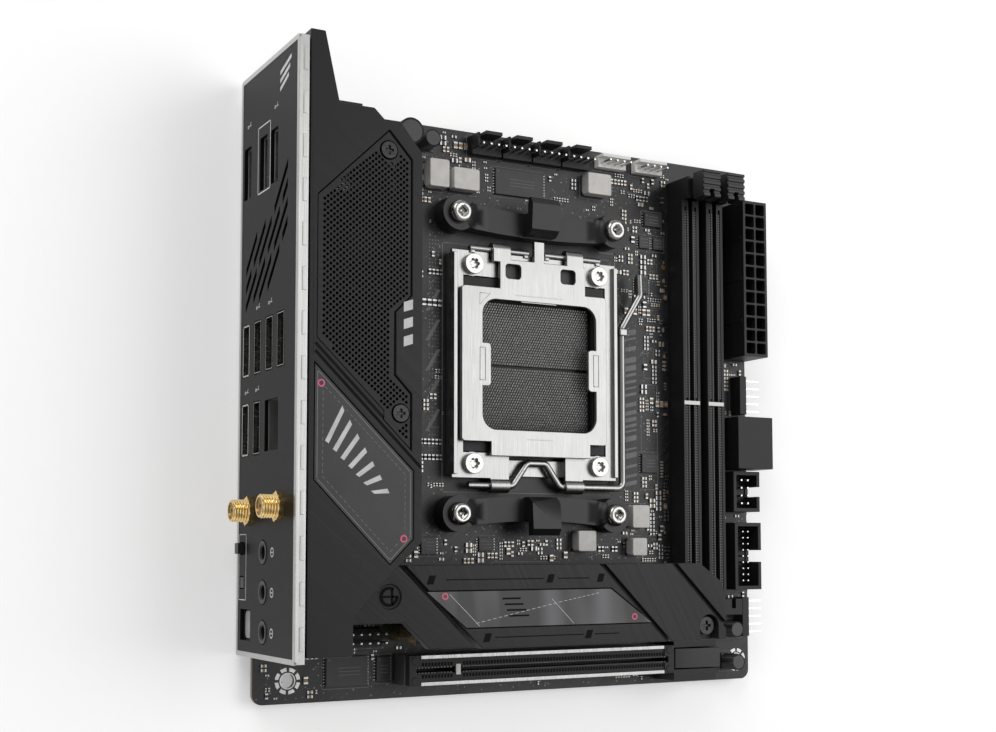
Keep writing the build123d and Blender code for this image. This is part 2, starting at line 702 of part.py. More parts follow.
with BuildPart() as backplate_film:
    with BuildSketch(level(-2.1)):
        with Locations((SOCKET_X, SOCKET_Y)):
            RectangleRounded(COOLER_DX + 12.0, COOLER_DY + 12.0, 6.0)
            RectangleRounded(26.0, 26.0, 3.0, mode=Mode.SUBTRACT)
        with Locations(*COOLER_HOLES, *CLAMP_HOLES):
            Circle(2.6, mode=Mode.SUBTRACT)
    extrude(amount=0.5)
keep(backplate_film, "backplate_film")


# ---- cooler brackets --------------------------------------------------------
BRACKET_TOP = 6.6


def cooler_bracket(side):
    """Curved bar between two fixing bosses with a hook in the middle, in the part being built."""
    boss_y = SOCKET_Y + side * COOLER_DY / 2
    left = SOCKET_X - COOLER_DX / 2
    right = SOCKET_X + COOLER_DX / 2
    outer = boss_y + side * 4.0
    inner = boss_y - side * 3.8
    with BuildSketch(level(0.2)) as outline:
        with BuildLine():
            ThreePointArc((left, outer), (SOCKET_X, boss_y + side * 2.0), (right, outer))
            Line((right, outer), (right, inner))
            ThreePointArc((right, inner), (SOCKET_X, boss_y - side * 5.4), (left, inner))
            Line((left, inner), (left, outer))
        make_face()
    extrude(outline.sketch, amount=BRACKET_TOP - 1.2)
    for boss_x in (left, right):
        rod(boss_x, boss_y, 5.4, 0.2, BRACKET_TOP)
    # hook that rises from the bar and turns outwards
    with BuildSketch(across_x(SOCKET_X - 4.8)) as outline:
        with BuildLine():
            Polyline(
                (boss_y - side * 5.2, 0.2),
                (boss_y - side * 5.2, 8.6),
                (boss_y - side * 3.4, 11.0),
                (boss_y + side * 4.4, 11.6),
                (boss_y + side * 6.4, 10.2),
                (boss_y + side * 6.4, 8.4),
                (boss_y + side * 1.8, 8.4),
                (boss_y + side * 1.8, 0.2),
                close=True,
            )
        make_face()
    extrude(outline.sketch, amount=9.6)
    for boss_x in (left, right):
        rod(boss_x, boss_y, 2.0, 0.2, BRACKET_TOP, mode=Mode.SUBTRACT)


with BuildPart() as cooler_bracket_far:
    cooler_bracket(1)
keep(cooler_bracket_far, "cooler_bracket_far")

with BuildPart() as cooler_bracket_near:
    cooler_bracket(-1)
keep(cooler_bracket_near, "cooler_bracket_near")

with BuildPart() as cooler_screws:
    for screw_x, screw_y in COOLER_HOLES:
        rod(screw_x, screw_y, 3.4, BRACKET_TOP, BRACKET_TOP + 2.4)
        rod(screw_x, screw_y, 1.5, -3.4, BRACKET_TOP)
    dome_edges = cooler_screws.edges().filter_by(GeomType.CIRCLE).group_by(Axis.Z)[-1]
    fillet(dome_edges, radius=1.3)
    for screw_x, screw_y in COOLER_HOLES:
        with BuildSketch(level(BRACKET_TOP + 1.0)):
            with Locations((screw_x, screw_y)):
                Rectangle(3.2, 0.8)
                Rectangle(0.8, 3.2)
        extrude(amount=1.6, mode=Mode.SUBTRACT)
keep(cooler_screws, "cooler_screws")


# ---- memory slots -----------------------------------------------------------
SLOT_TOP = 8.6
TOWER_TOP = 12.0
LATCH_Y = 159.0  # latch pivot
LATCH_Z = 4.6
for index, slot_x in enumerate(SLOT_XS, start=1):
    far_end = SLOT_END + SLOT_LEN
    with BuildPart() as memory_slot:
        brick(slot_x - SLOT_W / 2, slot_x + SLOT_W / 2, SLOT_END, far_end, 0.0, SLOT_TOP)
        # fixed end tower and the two cheeks that carry the latch
        brick(slot_x - SLOT_W / 2, slot_x + SLOT_W / 2, SLOT_END, SLOT_END + 5.0, SLOT_TOP, 17.0)
        for side in (-1, 1):
            cheek_x = sorted((slot_x + side * 2.0, slot_x + side * SLOT_W / 2))
            brick(*cheek_x, far_end, far_end + 7.0, 0.0, TOWER_TOP)
        # groove for the module's edge and its key
        brick(slot_x - 0.75, slot_x + 0.75, SLOT_END + 2.0, far_end, 2.4, 17.1, mode=Mode.SUBTRACT)
        brick(slot_x - 0.75, slot_x + 0.75, 89.2, 90.8, 2.4, SLOT_TOP - 1.0)
        # relief channels beside the contacts
        for side in (-1, 1):
            channel_x = sorted((slot_x + side * 1.5, slot_x + side * 2.2))
            channel_z = (SLOT_TOP - 0.8, SLOT_TOP)
            brick(*channel_x, SLOT_END + 6.0, far_end - 2.0, *channel_z, mode=Mode.SUBTRACT)
        # pivot pin for the latch
        with BuildSketch(across_x(slot_x - 2.0)):
            with Locations((LATCH_Y, LATCH_Z)):
                Circle(0.8)
        extrude(amount=4.0)
    keep(memory_slot, f"memory_slot_{index}")

    with BuildPart() as memory_latch:
        with BuildSketch(across_x(slot_x - 1.8)):
            with BuildLine():
                Polyline(
                    (LATCH_Y - 1.8, LATCH_Z - 1.8),
                    (LATCH_Y + 1.8, LATCH_Z - 1.8),
                    (LATCH_Y + 3.6, 12.6),
                    (LATCH_Y + 4.4, 21.0),
                    (LATCH_Y - 4.2, 21.0),
                    (LATCH_Y - 4.2, 18.6),
                    (LATCH_Y - 2.2, 16.6),
                    close=True,
                )
            make_face()
            with Locations((LATCH_Y, LATCH_Z)):
                Circle(0.86, mode=Mode.SUBTRACT)
        extrude(amount=3.6)
        # wider ribbed thumb pad above the cheeks
        pad_x = (slot_x - SLOT_W / 2, slot_x + SLOT_W / 2)
        brick(*pad_x, LATCH_Y - 4.2, LATCH_Y + 4.4, 15.0, 21.0)
        for rib in range(4):
            rib_y = LATCH_Y - 2.6 + 1.9 * rib
            brick(*pad_x, rib_y - 0.4, rib_y + 0.4, 20.5, 21.0, mode=Mode.SUBTRACT)
        # slot that takes the module's edge
        brick(slot_x - 0.8, slot_x + 0.8, LATCH_Y - 4.4, LATCH_Y - 1.8, 12.0, 21.2, mode=Mode.SUBTRACT)
    keep(memory_latch, f"memory_latch_{index}")


# ---- expansion slot ---------------------------------------------------------
CARD_START = 43.0
CARD_END = 132.0
CARD_TOP = 11.25
CARD_GROOVE = (EXPANSION_Y - 0.9, EXPANSION_Y + 0.9)
CARD_SIDES = (EXPANSION_Y - 4.3, EXPANSION_Y + 4.3)
CAP_SPANS = [(CARD_START - 0.8, CARD_START + 2.8), (CARD_END - 2.8, CARD_END + 0.8)]
CAP_LOW = 8.2
with BuildPart() as expansion_slot:
    brick(CARD_START, CARD_END, EXPANSION_Y - 3.3, EXPANSION_Y + 3.3, 0.0, CARD_TOP - 0.35)
    # end caps over the steel shell, with their rivets
    for cap_span in CAP_SPANS:
        brick(*cap_span, *CARD_SIDES, CAP_LOW, CARD_TOP)
        for side in (-1, 1):
            rivet_x = (cap_span[0] + cap_span[1]) / 2
            rod(rivet_x, EXPANSION_Y + side * 2.9, 1.1, CARD_TOP, CARD_TOP + 0.2)
    brick(CARD_START + 1.4, CARD_END - 1.4, *CARD_GROOVE, 2.6, CARD_TOP, mode=Mode.SUBTRACT)
    brick(57.0, 58.6, *CARD_GROOVE, 2.6, CARD_TOP - 1.2)
keep(expansion_slot, "expansion_slot")

with BuildPart() as slot_shield:
    with BuildSketch(level(0.3)):
        with Locations(((CARD_START + CARD_END) / 2, EXPANSION_Y)):
            Rectangle(CARD_END - CARD_START + 1.6, 8.6)
            Rectangle(CARD_END - CARD_START, 6.6, mode=Mode.SUBTRACT)
    extrude(amount=CARD_TOP - 0.3)
    # lowered ends under the slot's end caps
    for cap_start, cap_end in CAP_SPANS:
        brick(cap_start - 0.1, cap_end + 0.1, *CARD_SIDES, CAP_LOW - 0.1, CARD_TOP, mode=Mode.SUBTRACT)
keep(slot_shield, "slot_shield")

CATCH_X = 145.5  # card latch pivot
CATCH_Z = 4.0
with BuildPart() as card_latch_base:
    for y0, y1 in ((1.4, 5.0), (11.8, 14.4)):
        brick(133.2, 149.6, y0, y1, 0.0, 10.4)
    brick(133.2, 149.6, 5.0, 11.8, 0.0, 0.8)
    with BuildSketch(across_y(11.8)):
        with Locations((CATCH_X, CATCH_Z)):
            Circle(0.9)
    extrude(amount=6.8)
keep(card_latch_base, "card_latch_base")

with BuildPart() as card_latch:
    with BuildSketch(across_y(11.5)):
        with BuildLine():
            Polyline(
                (CATCH_X - 2.0, CATCH_Z - 2.0),
                (CATCH_X + 2.0, CATCH_Z - 2.0),
                (CATCH_X + 5.2, 9.6),
                (CATCH_X + 5.2, 11.0),
                (CATCH_X - 4.0, 11.0),
                (CATCH_X - 11.4, 9.8),
                (CATCH_X - 11.4, 8.2),
                (CATCH_X - 4.0, 7.6),
                close=True,
            )
        make_face()
        with Locations((CATCH_X, CATCH_Z)):
            Circle(0.96, mode=Mode.SUBTRACT)
    extrude(amount=6.2)
keep(card_latch, "card_latch")


# ---- drive stack over the chipset ------------------------------------------
STACK_START = 40.0
STACK_END = 136.0
CARRIER_LOW = 19.6
CARRIER_TOP = 20.8
COVER_LOW = 28.0
DRIVE_COVER = [
    (30.8, STRIP_HIGH),
    (127.0, STRIP_HIGH),
    (135.0, 32.8),
    (136.4, 27.4),
    (136.4, STRIP_LOW),
    (53.8, STRIP_LOW),
]
DRIVE_BADGE = [(36.6, 31.6), (95.6, 31.6), (110.2, 21.2), (49.0, 21.2)]
DRIVE_SCREW = (130.2, 19.8)

with BuildPart() as chipset_heatsink:
    brick(48.0, 128.0, 17.0, 37.4, 2.6, CARRIER_LOW)
    with BuildSketch(level(5.6)):
        with Locations((88.0, 27.2)):
            with GridLocations(5.0, 1.0, 15, 1):
                Rectangle(3.0, 21.0)
    extrude(amount=CARRIER_LOW - 8.0, mode=Mode.SUBTRACT)
keep(chipset_heatsink, "chipset_heatsink")

STACK_POSTS = [(43.0, 18.6), (43.0, 35.6), (133.2, 18.6), (133.2, 35.6)]
with BuildPart() as stack_posts:
    for post_x, post_y in STACK_POSTS:
        rod(post_x, post_y, 2.2, 0.0, CARRIER_LOW)
    # post that takes the far end of the drive
    rod(129.6, 27.2, 2.4, CARRIER_TOP, CARRIER_TOP + 2.4)
    rod(129.6, 27.2, 1.1, CARRIER_TOP + 0.4, CARRIER_TOP + 2.4, mode=Mode.SUBTRACT)
keep(stack_posts, "stack_posts")

with BuildPart() as thermal_pads:
    brick(24.5, 36.5, SINK_NEAR + 2, SINK_FAR - 2, SINK_LOW - 1.0, SINK_LOW)
    brick(78.0, 94.0, 19.4, 35.4, 1.9, 2.6)
    brick(56.0, 124.0, 17.2, 37.2, COVER_LOW - 0.8, COVER_LOW)
keep(thermal_pads, "thermal_pads")

with BuildPart() as drive_carrier:
    brick(STACK_START, STACK_END, STRIP_LOW + 0.6, STRIP_HIGH - 0.6, CARRIER_LOW, CARRIER_TOP)
keep(drive_carrier, "drive_carrier")

with BuildPart() as drive_socket:
    brick(44.5, 52.5, 16.4, 38.0, CARRIER_TOP, CARRIER_TOP + 4.2)
    brick(48.5, 52.6, 17.2, 37.2, CARRIER_TOP + 1.4, CARRIER_TOP + 2.4, mode=Mode.SUBTRACT)
keep(drive_socket, "drive_socket")

with BuildPart() as drive_cover:
    plate(DRIVE_COVER, COVER_LOW, WING_TOP)
    # feet on the carrier board
    brick(STACK_START + 0.4, STACK_START + 3.6, 24.0, 34.0, CARRIER_TOP, COVER_LOW)
    brick(133.4, 135.8, 18.0, 30.0, CARRIER_TOP, COVER_LOW)
    groove((91.0, 40.2), (118.0, 13.2), 1.3, WING_TOP, 1.4)
    groove((115.6, 40.6), (138.0, 18.2), 1.3, WING_TOP, 1.4)
    plate(DRIVE_BADGE, WING_TOP - 0.9, WING_TOP, mode=Mode.SUBTRACT)
    # arched recess for the captive screw
    rod(DRIVE_SCREW[0], DRIVE_SCREW[1], 3.3, WING_TOP - 3.2, WING_TOP, mode=Mode.SUBTRACT)
    brick(126.9, 133.5, STRIP_LOW - 0.1, DRIVE_SCREW[1], WING_TOP - 3.2, WING_TOP, mode=Mode.SUBTRACT)
    rod(DRIVE_SCREW[0], DRIVE_SCREW[1], 1.6, COVER_LOW, WING_TOP - 3.2, mode=Mode.SUBTRACT)
    # cooling notches along the far edge
    notch_y = (STRIP_HIGH - 1.4, STRIP_HIGH + 0.1)
    notch_z = (COVER_LOW, WING_TOP - 0.6)
    for first_x, count in ((37.6, 15), (89.8, 5)):
        for notch in range(count):
            notch_x = first_x + 3.0 * notch
            brick(notch_x - 0.6, notch_x + 0.6, *notch_y, *notch_z, mode=Mode.SUBTRACT)
keep(drive_cover, "drive_cover")

with BuildPart() as drive_badge:
    plate(DRIVE_BADGE, WING_TOP - 0.9, WING_TOP - 0.15, inset=0.2)
keep(drive_badge, "drive_badge")


with BuildPart() as cover_screws:
    for screw_x, screw_y in GRILLE_SCREWS:
        rod(screw_x, screw_y, 2.3, GRILLE_TOP - 0.6, GRILLE_TOP + 0.4)
        with BuildSketch(level(GRILLE_TOP - 0.2)):
            with Locations((screw_x, screw_y)):
                Rectangle(2.4, 0.6)
                Rectangle(0.6, 2.4)
        extrude(amount=0.6, mode=Mode.SUBTRACT)
    rod(DRIVE_SCREW[0], DRIVE_SCREW[1], 2.7, WING_TOP - 3.2, WING_TOP - 1.4)
    rod(DRIVE_SCREW[0], DRIVE_SCREW[1], 1.5, CARRIER_TOP, WING_TOP - 3.2)
    with BuildSketch(level(WING_TOP - 2.2)):
        with Locations(DRIVE_SCREW):
            Rectangle(2.8, 0.7)
            Rectangle(0.7, 2.8)
    extrude(amount=0.8, mode=Mode.SUBTRACT)
keep(cover_screws, "cover_screws")


# ---- power sockets ----------------------------------------------------------
CELL = 4.2  # pitch of the power contacts


def power_socket(x0, y0, columns, rows, height):
    """Two-row power socket with square cells and a latch ledge, in the part being built."""
    x1 = x0 + CELL * columns + 1.2
    y1 = y0 + CELL * rows + 1.2
    brick(x0, x1, y0, y1, 0.0, height)
    with BuildSketch(level(2.0)) as outline:
        with Locations(((x0 + x1) / 2, (y0 + y1) / 2)):
            with GridLocations(CELL, CELL, columns, rows):
                RectangleRounded(3.5, 3.5, 0.5)
    extrude(outline.sketch, amount=height - 2.0, mode=Mode.SUBTRACT)


with BuildPart() as main_power_socket:
    power_socket(160.5, 105.8, 2, 12, 12.9)
keep(main_power_socket, "main_power_socket")

with BuildPart() as processor_power_socket:
    power_socket(8.4, 159.9, 4, 2, 12.9)
keep(processor_power_socket, "processor_power_socket")


# ---- headers ----------------------------------------------------------------
PITCH = 2.54
FAN_HEADER_XS = [71.4, 81.9, 92.4, 102.9]
FAN_HEADER_Y = 165.8
with BuildPart() as fan_headers:
    for header_x in FAN_HEADER_XS:
        brick(header_x - 5.0, header_x + 5.0, FAN_HEADER_Y - 2.9, FAN_HEADER_Y + 2.9, 0.0, 2.6)
        brick(header_x - 3.6, header_x + 2.0, FAN_HEADER_Y + 1.8, FAN_HEADER_Y + 2.9, 2.6, 9.0)
        brick(header_x - 5.0, header_x - 4.2, FAN_HEADER_Y - 1.4, FAN_HEADER_Y + 2.9, 2.6, 6.4)
keep(fan_headers, "fan_headers")

with BuildPart() as lighting_headers:
    for header_x in (116.4, 130.4):
        brick(header_x - 5.2, header_x + 5.2, 164.6, 168.4, 0.0, 2.6)
        brick(header_x - 5.2, header_x + 5.2, 167.4, 168.4, 2.6, 5.6)
keep(lighting_headers, "lighting_headers")

with BuildPart() as drive_ports:
    brick(158.6, 172.6, 69.0, 86.0, 0.0, 11.6)
    for port_z in (1.0, 6.6):
        with BuildSketch(across_x(172.7)):
            with Locations((77.5, port_z + 2.1)):
                Rectangle(14.6, 4.2)
            area(78.4, 83.4, port_z + 1.4, port_z + 2.7, mode=Mode.SUBTRACT)
            area(71.6, 83.4, port_z + 1.4, port_z + 2.4, mode=Mode.SUBTRACT)
        extrude(amount=-8.0, mode=Mode.SUBTRACT)
keep(drive_ports, "drive_ports")

BENT_HEADERS = [(93.8, 5), (20.6, 5)]
AUDIO_HEADER = (31.4, 17.8)
with BuildPart() as header_bases:
    brick(158.8, 169.4, 29.6, 51.4, 0.0, 8.8)
    brick(160.0, 168.2, 30.8, 50.2, 1.6, 8.9, mode=Mode.SUBTRACT)
    brick(168.1, 169.5, 38.6, 42.4, 2.0, 8.9, mode=Mode.SUBTRACT)
    brick(158.8, 169.4, 55.0, 68.2, 0.0, 8.4)
    brick(160.0, 168.2, 56.2, 67.0, 1.6, 8.5, mode=Mode.SUBTRACT)
    brick(168.1, 169.5, 60.0, 63.2, 2.0, 8.5, mode=Mode.SUBTRACT)
    for centre_y, count in BENT_HEADERS:
        half_row = PITCH * count / 2
        brick(164.4, 167.0, centre_y - half_row, centre_y + half_row, 0.0, 5.0)
    audio_x = (AUDIO_HEADER[0] - 2.5 * PITCH, AUDIO_HEADER[0] + 2.5 * PITCH)
    audio_y = (AUDIO_HEADER[1] - PITCH, AUDIO_HEADER[1] + PITCH)
    brick(*audio_x, *audio_y, 0.0, 2.4)
keep(header_bases, "header_bases")

PIN = 0.64
with BuildPart() as header_pins:
    # upright pins
    with BuildSketch(level(2.6)):
        for header_x in FAN_HEADER_XS:
            with Locations((header_x, FAN_HEADER_Y - 0.6)):
                with GridLocations(PITCH, PITCH, 4, 1):
                    Rectangle(PIN, PIN)
        with Locations((116.4, 166.0), (130.4, 166.0)):
            with GridLocations(PITCH, PITCH, 4, 1):
                Rectangle(PIN, PIN)
    extrude(amount=5.4)
    with BuildSketch(level(1.6)):
        with Locations((164.1, 40.5)):
            with GridLocations(2.0, 2.0, 2, 9):
                Rectangle(0.5, 0.5)
        with Locations((164.1, 61.6)):
            with GridLocations(PITCH, PITCH, 2, 4):
                Rectangle(PIN, PIN)
    extrude(amount=5.8)
    with BuildSketch(level(2.4)):
        with Locations(AUDIO_HEADER):
            with GridLocations(PITCH, PITCH, 5, 2):
                Rectangle(PIN, PIN)
    extrude(amount=6.0)
    # contacts in the power sockets
    with BuildSketch(level(2.0)):
        with Locations((165.3, 131.6)):
            with GridLocations(CELL, CELL, 2, 12):
                Rectangle(1.0, 1.0)
        with Locations((17.4, 164.7)):
            with GridLocations(CELL, CELL, 4, 2):
                Rectangle(1.0, 1.0)
    extrude(amount=8.0)
    # pins bent over the front edge
    for centre_y, count in BENT_HEADERS:
        with BuildSketch(across_x(167.0)):
            with Locations((centre_y, 2.4)):
                with GridLocations(PITCH, PITCH, count, 1):
                    Rectangle(PIN, PIN)
        extrude(amount=FRONT_REACH - 167.0)
keep(header_pins, "header_pins")


# ---- board components -------------------------------------------------------
CHOKES = [
    (54.8, 155.2, 6.4, 8.4),
    (63.8, 154.4, 8.6, 6.6),
    (110.8, 158.6, 8.6, 6.8),
    (125.6, 53.2, 6.4, 7.2),
    (105.6, 45.4, 6.4, 6.4),
    (125.0, 43.6, 5.4, 5.6),
]
with BuildPart() as power_chokes:
    for centre_x, centre_y, size_x, size_y in CHOKES:
        with BuildSketch(level(0.3)):
            with Locations((centre_x, centre_y)):
                RectangleRounded(size_x, size_y, 0.6)
        extrude(amount=3.9)
        foot_x = (centre_x - size_x / 2 + 0.5, centre_x + size_x / 2 - 0.5)
        brick(*foot_x, centre_y - 1.6, centre_y + 1.6, 0.0, 0.3)
    # row along the power stage, under the cover's edge
    with BuildSketch(level(0)):
        with Locations((43.6, 101.0)):
            with GridLocations(7.0, 8.6, 1, 10):
                RectangleRounded(6.8, 7.2, 0.6)
    extrude(amount=5.0)
keep(power_chokes, "power_chokes")

CAPACITORS = [
    (161.2, 16.6, 2.6, 6.2),
    (161.6, 6.0, 2.6, 6.2),
    (43.0, 164.8, 3.9, 10.0),
    (51.6, 164.8, 2.6, 6.2),
]
with BuildPart() as capacitors:
    for centre_x, centre_y, radius, height in CAPACITORS:
        rod(centre_x, centre_y, radius, 0.4, height)
        brick(centre_x - radius, centre_x + radius, centre_y - radius, centre_y + radius, 0.0, 0.4)
    with BuildSketch(level(0)):
        with Locations((21.3, 32.0), (21.3, 39.0), (21.3, 46.0)):
            Circle(2.0)
    extrude(amount=7.0)
keep(capacitors, "capacitors")

CHIPS = [
    (83.6, 156.0, 17.0, 8.0, 1.0),
    (129.6, 142.4, 4.0, 4.0, 1.0),
    (135.0, 142.4, 4.0, 4.0, 1.0),
    (27.4, 8.4, 12.6, 8.4, 1.4),
    (38.6, 8.6, 4.2, 7.0, 1.2),
    (132.8, 150.0, 6.4, 4.4, 1.2),
    (128.6, 128.0, 5.0, 5.0, 1.0),
    (131.0, 70.4, 6.0, 6.0, 1.1),
    (53.0, 44.0, 5.0, 5.0, 1.0),
    (72.0, 44.4, 5.0, 4.0, 1.0),
]
with BuildPart() as chips:
    for centre_x, centre_y, size_x, size_y, height in CHIPS:
        with BuildSketch(level(0)):
            with Locations((centre_x, centre_y)):
                Rectangle(size_x, size_y)
        extrude(amount=height)
    # chipset package and its bare die
    brick(75.0, 97.0, 16.4, 38.4, 0.0, 1.2)
    brick(80.0, 92.0, 21.4, 33.4, 1.2, 1.9)
    # two rows of power stages under the heatsink
    with BuildSketch(level(0)):
        with Locations((30.5, (SINK_NEAR + SINK_FAR) / 2)):
            with GridLocations(6.4, 9.0, 2, 11):
                Rectangle(5.0, 6.0)
    extrude(amount=SINK_LOW - 1.0)
keep(chips, "chips")

with BuildPart() as clock_battery:
    with BuildSketch(across_x(14.6)):
        with Locations((38.0, 10.8)):
            Circle(10.0)
    extrude(amount=3.2)
    brick(13.8, 18.6, 28.4, 47.6, 0.0, 0.8)
keep(clock_battery, "clock_battery")
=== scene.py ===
"""Looks for the compact motherboard: softened casings, fine board parts and procedural finishes."""

import json
import math
import random

import bmesh
import bpy
from mathutils import Matrix, Vector


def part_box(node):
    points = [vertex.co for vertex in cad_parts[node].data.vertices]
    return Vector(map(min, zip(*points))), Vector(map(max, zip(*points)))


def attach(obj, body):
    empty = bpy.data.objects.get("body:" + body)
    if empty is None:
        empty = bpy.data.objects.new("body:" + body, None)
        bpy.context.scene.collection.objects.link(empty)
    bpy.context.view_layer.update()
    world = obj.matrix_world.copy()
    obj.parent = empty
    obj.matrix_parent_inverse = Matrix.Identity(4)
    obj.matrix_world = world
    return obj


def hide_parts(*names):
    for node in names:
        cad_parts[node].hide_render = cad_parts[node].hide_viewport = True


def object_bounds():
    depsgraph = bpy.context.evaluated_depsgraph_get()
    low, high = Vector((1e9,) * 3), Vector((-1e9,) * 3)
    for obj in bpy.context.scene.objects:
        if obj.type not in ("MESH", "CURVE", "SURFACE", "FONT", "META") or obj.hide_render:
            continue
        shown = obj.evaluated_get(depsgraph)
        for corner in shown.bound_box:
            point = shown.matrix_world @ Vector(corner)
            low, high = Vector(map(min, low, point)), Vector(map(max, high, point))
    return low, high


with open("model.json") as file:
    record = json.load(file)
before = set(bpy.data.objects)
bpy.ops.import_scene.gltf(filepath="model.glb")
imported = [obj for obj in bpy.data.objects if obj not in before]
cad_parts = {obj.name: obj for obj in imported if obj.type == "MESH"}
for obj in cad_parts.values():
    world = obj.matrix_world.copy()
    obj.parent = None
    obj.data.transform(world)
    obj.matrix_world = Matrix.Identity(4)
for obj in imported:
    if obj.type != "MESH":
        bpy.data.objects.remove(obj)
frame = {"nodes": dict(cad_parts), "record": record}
cad_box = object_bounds()

MM = 0.001
board_low, board_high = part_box("circuit_board")
# rear corner beside the expansion slot, on the component surface
ORIGIN = Vector((board_low.x, board_low.y, board_high.z))
BODY_OF = {n: body for body, members in frame["record"]["behaviour"]["bodies"].items() for n in members}


# ---- places ------------------------------------------------------------------
def mm_box(node):
    """Lowest and highest corner of a CAD node in board millimetres."""
    low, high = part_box(node)
    return (low - ORIGIN) / MM, (high - ORIGIN) / MM


def islands(node):
    """Box of each separate solid in a CAD node, in board millimetres."""
    mesh = frame["nodes"][node].data
    parent = {}

    def root(key):
        while parent[key] != key:
            parent[key] = parent[parent[key]]
            key = parent[key]
        return key

    keys = [tuple(round(c, 6) for c in v.co) for v in mesh.vertices]
    for key in keys:
        parent.setdefault(key, key)
    for face in mesh.polygons:
        first = root(keys[face.vertices[0]])
        for index in face.vertices[1:]:
            parent[root(keys[index])] = first
    groups = {}
    for key in parent:
        groups.setdefault(root(key), []).append((Vector(key) - ORIGIN) / MM)
    boxes = []
    for points in groups.values():
        low = Vector([min(p[i] for p in points) for i in range(3)])
        high = Vector([max(p[i] for p in points) for i in range(3)])
        boxes.append((low, high))
    return sorted(boxes, key=lambda b: (round(b[0].x, 2), round(b[0].y, 2), round(b[0].z, 2)))


def top_loops(node):
    """Outlines of a CAD node's highest flat face, longest first, in board millimetres."""
    mesh = frame["nodes"][node].data
    top = max(v.co.z for v in mesh.vertices)
    count = {}
    for face in mesh.polygons:
        if face.normal.z < 0.99 or any(mesh.vertices[i].co.z < top - 1e-5 for i in face.vertices):
            continue
        ring = [tuple(round(c, 6) for c in mesh.vertices[i].co.xy) for i in face.vertices]
        for a, b in zip(ring, ring[1:] + ring[:1]):
            if (b, a) in count:
                del count[(b, a)]
            else:
                count[(a, b)] = True
    after = {a: b for a, b in count}
    loops = []
    while after:
        start, here = next(iter(after.items()))
        loop = [start]
        del after[start]
        while here != start and here in after:
            loop.append(here)
            here = after.pop(here)
        loops.append([((x - ORIGIN.x) / MM, (y - ORIGIN.y) / MM) for x, y in loop])
    return sorted(loops, key=len_of_loop, reverse=True)


def len_of_loop(loop):
    return sum(math.dist(a, b) for a, b in zip(loop, loop[1:] + loop[:1]))


def straightened(loop):
    """A loop without the points that lie on its straight sides."""
    kept = []
    for before, here, after in zip(loop[-1:] + loop[:-1], loop, loop[1:] + loop[:1]):
        a = Vector(here) - Vector(before)
        b = Vector(after) - Vector(here)
        if abs(a.x * b.y - a.y * b.x) > 1e-3 * a.length * b.length:
            kept.append(here)
    return kept


def shrunk(loop, inset):
    """A counter-clockwise loop moved inwards by the same distance on every side."""
    moved = []
    for before, here, after in zip(loop[-1:] + loop[:-1], loop, loop[1:] + loop[:1]):
        a = (Vector(here) - Vector(before)).normalized()
        b = (Vector(after) - Vector(here)).normalized()
        side_a, side_b = Vector((-a.y, a.x)), Vector((-b.y, b.x))
        reach = (side_a + side_b) / (1 + side_a.dot(side_b))
        moved.append(tuple(Vector(here) + reach * inset))
    return moved


def inside(point, loop):
    """Whether a point lies within a loop."""
    hit = False
    for (x0, y0), (x1, y1) in zip(loop, loop[1:] + loop[:1]):
        if (y0 > point[1]) != (y1 > point[1]):
            if point[0] < x0 + (point[1] - y0) * (x1 - x0) / (y1 - y0):
                hit = not hit
    return hit


def edge_gap(point, loop):
    """Distance from a point to the nearest side of a loop."""
    best = 1e9
    p = Vector(point)
    for a, b in zip(loop, loop[1:] + loop[:1]):
        a, b = Vector(a), Vector(b)
        run = b - a
        t = max(0.0, min(1.0, (p - a).dot(run) / run.length_squared))
        best = min(best, (a + run * t - p).length)
    return best


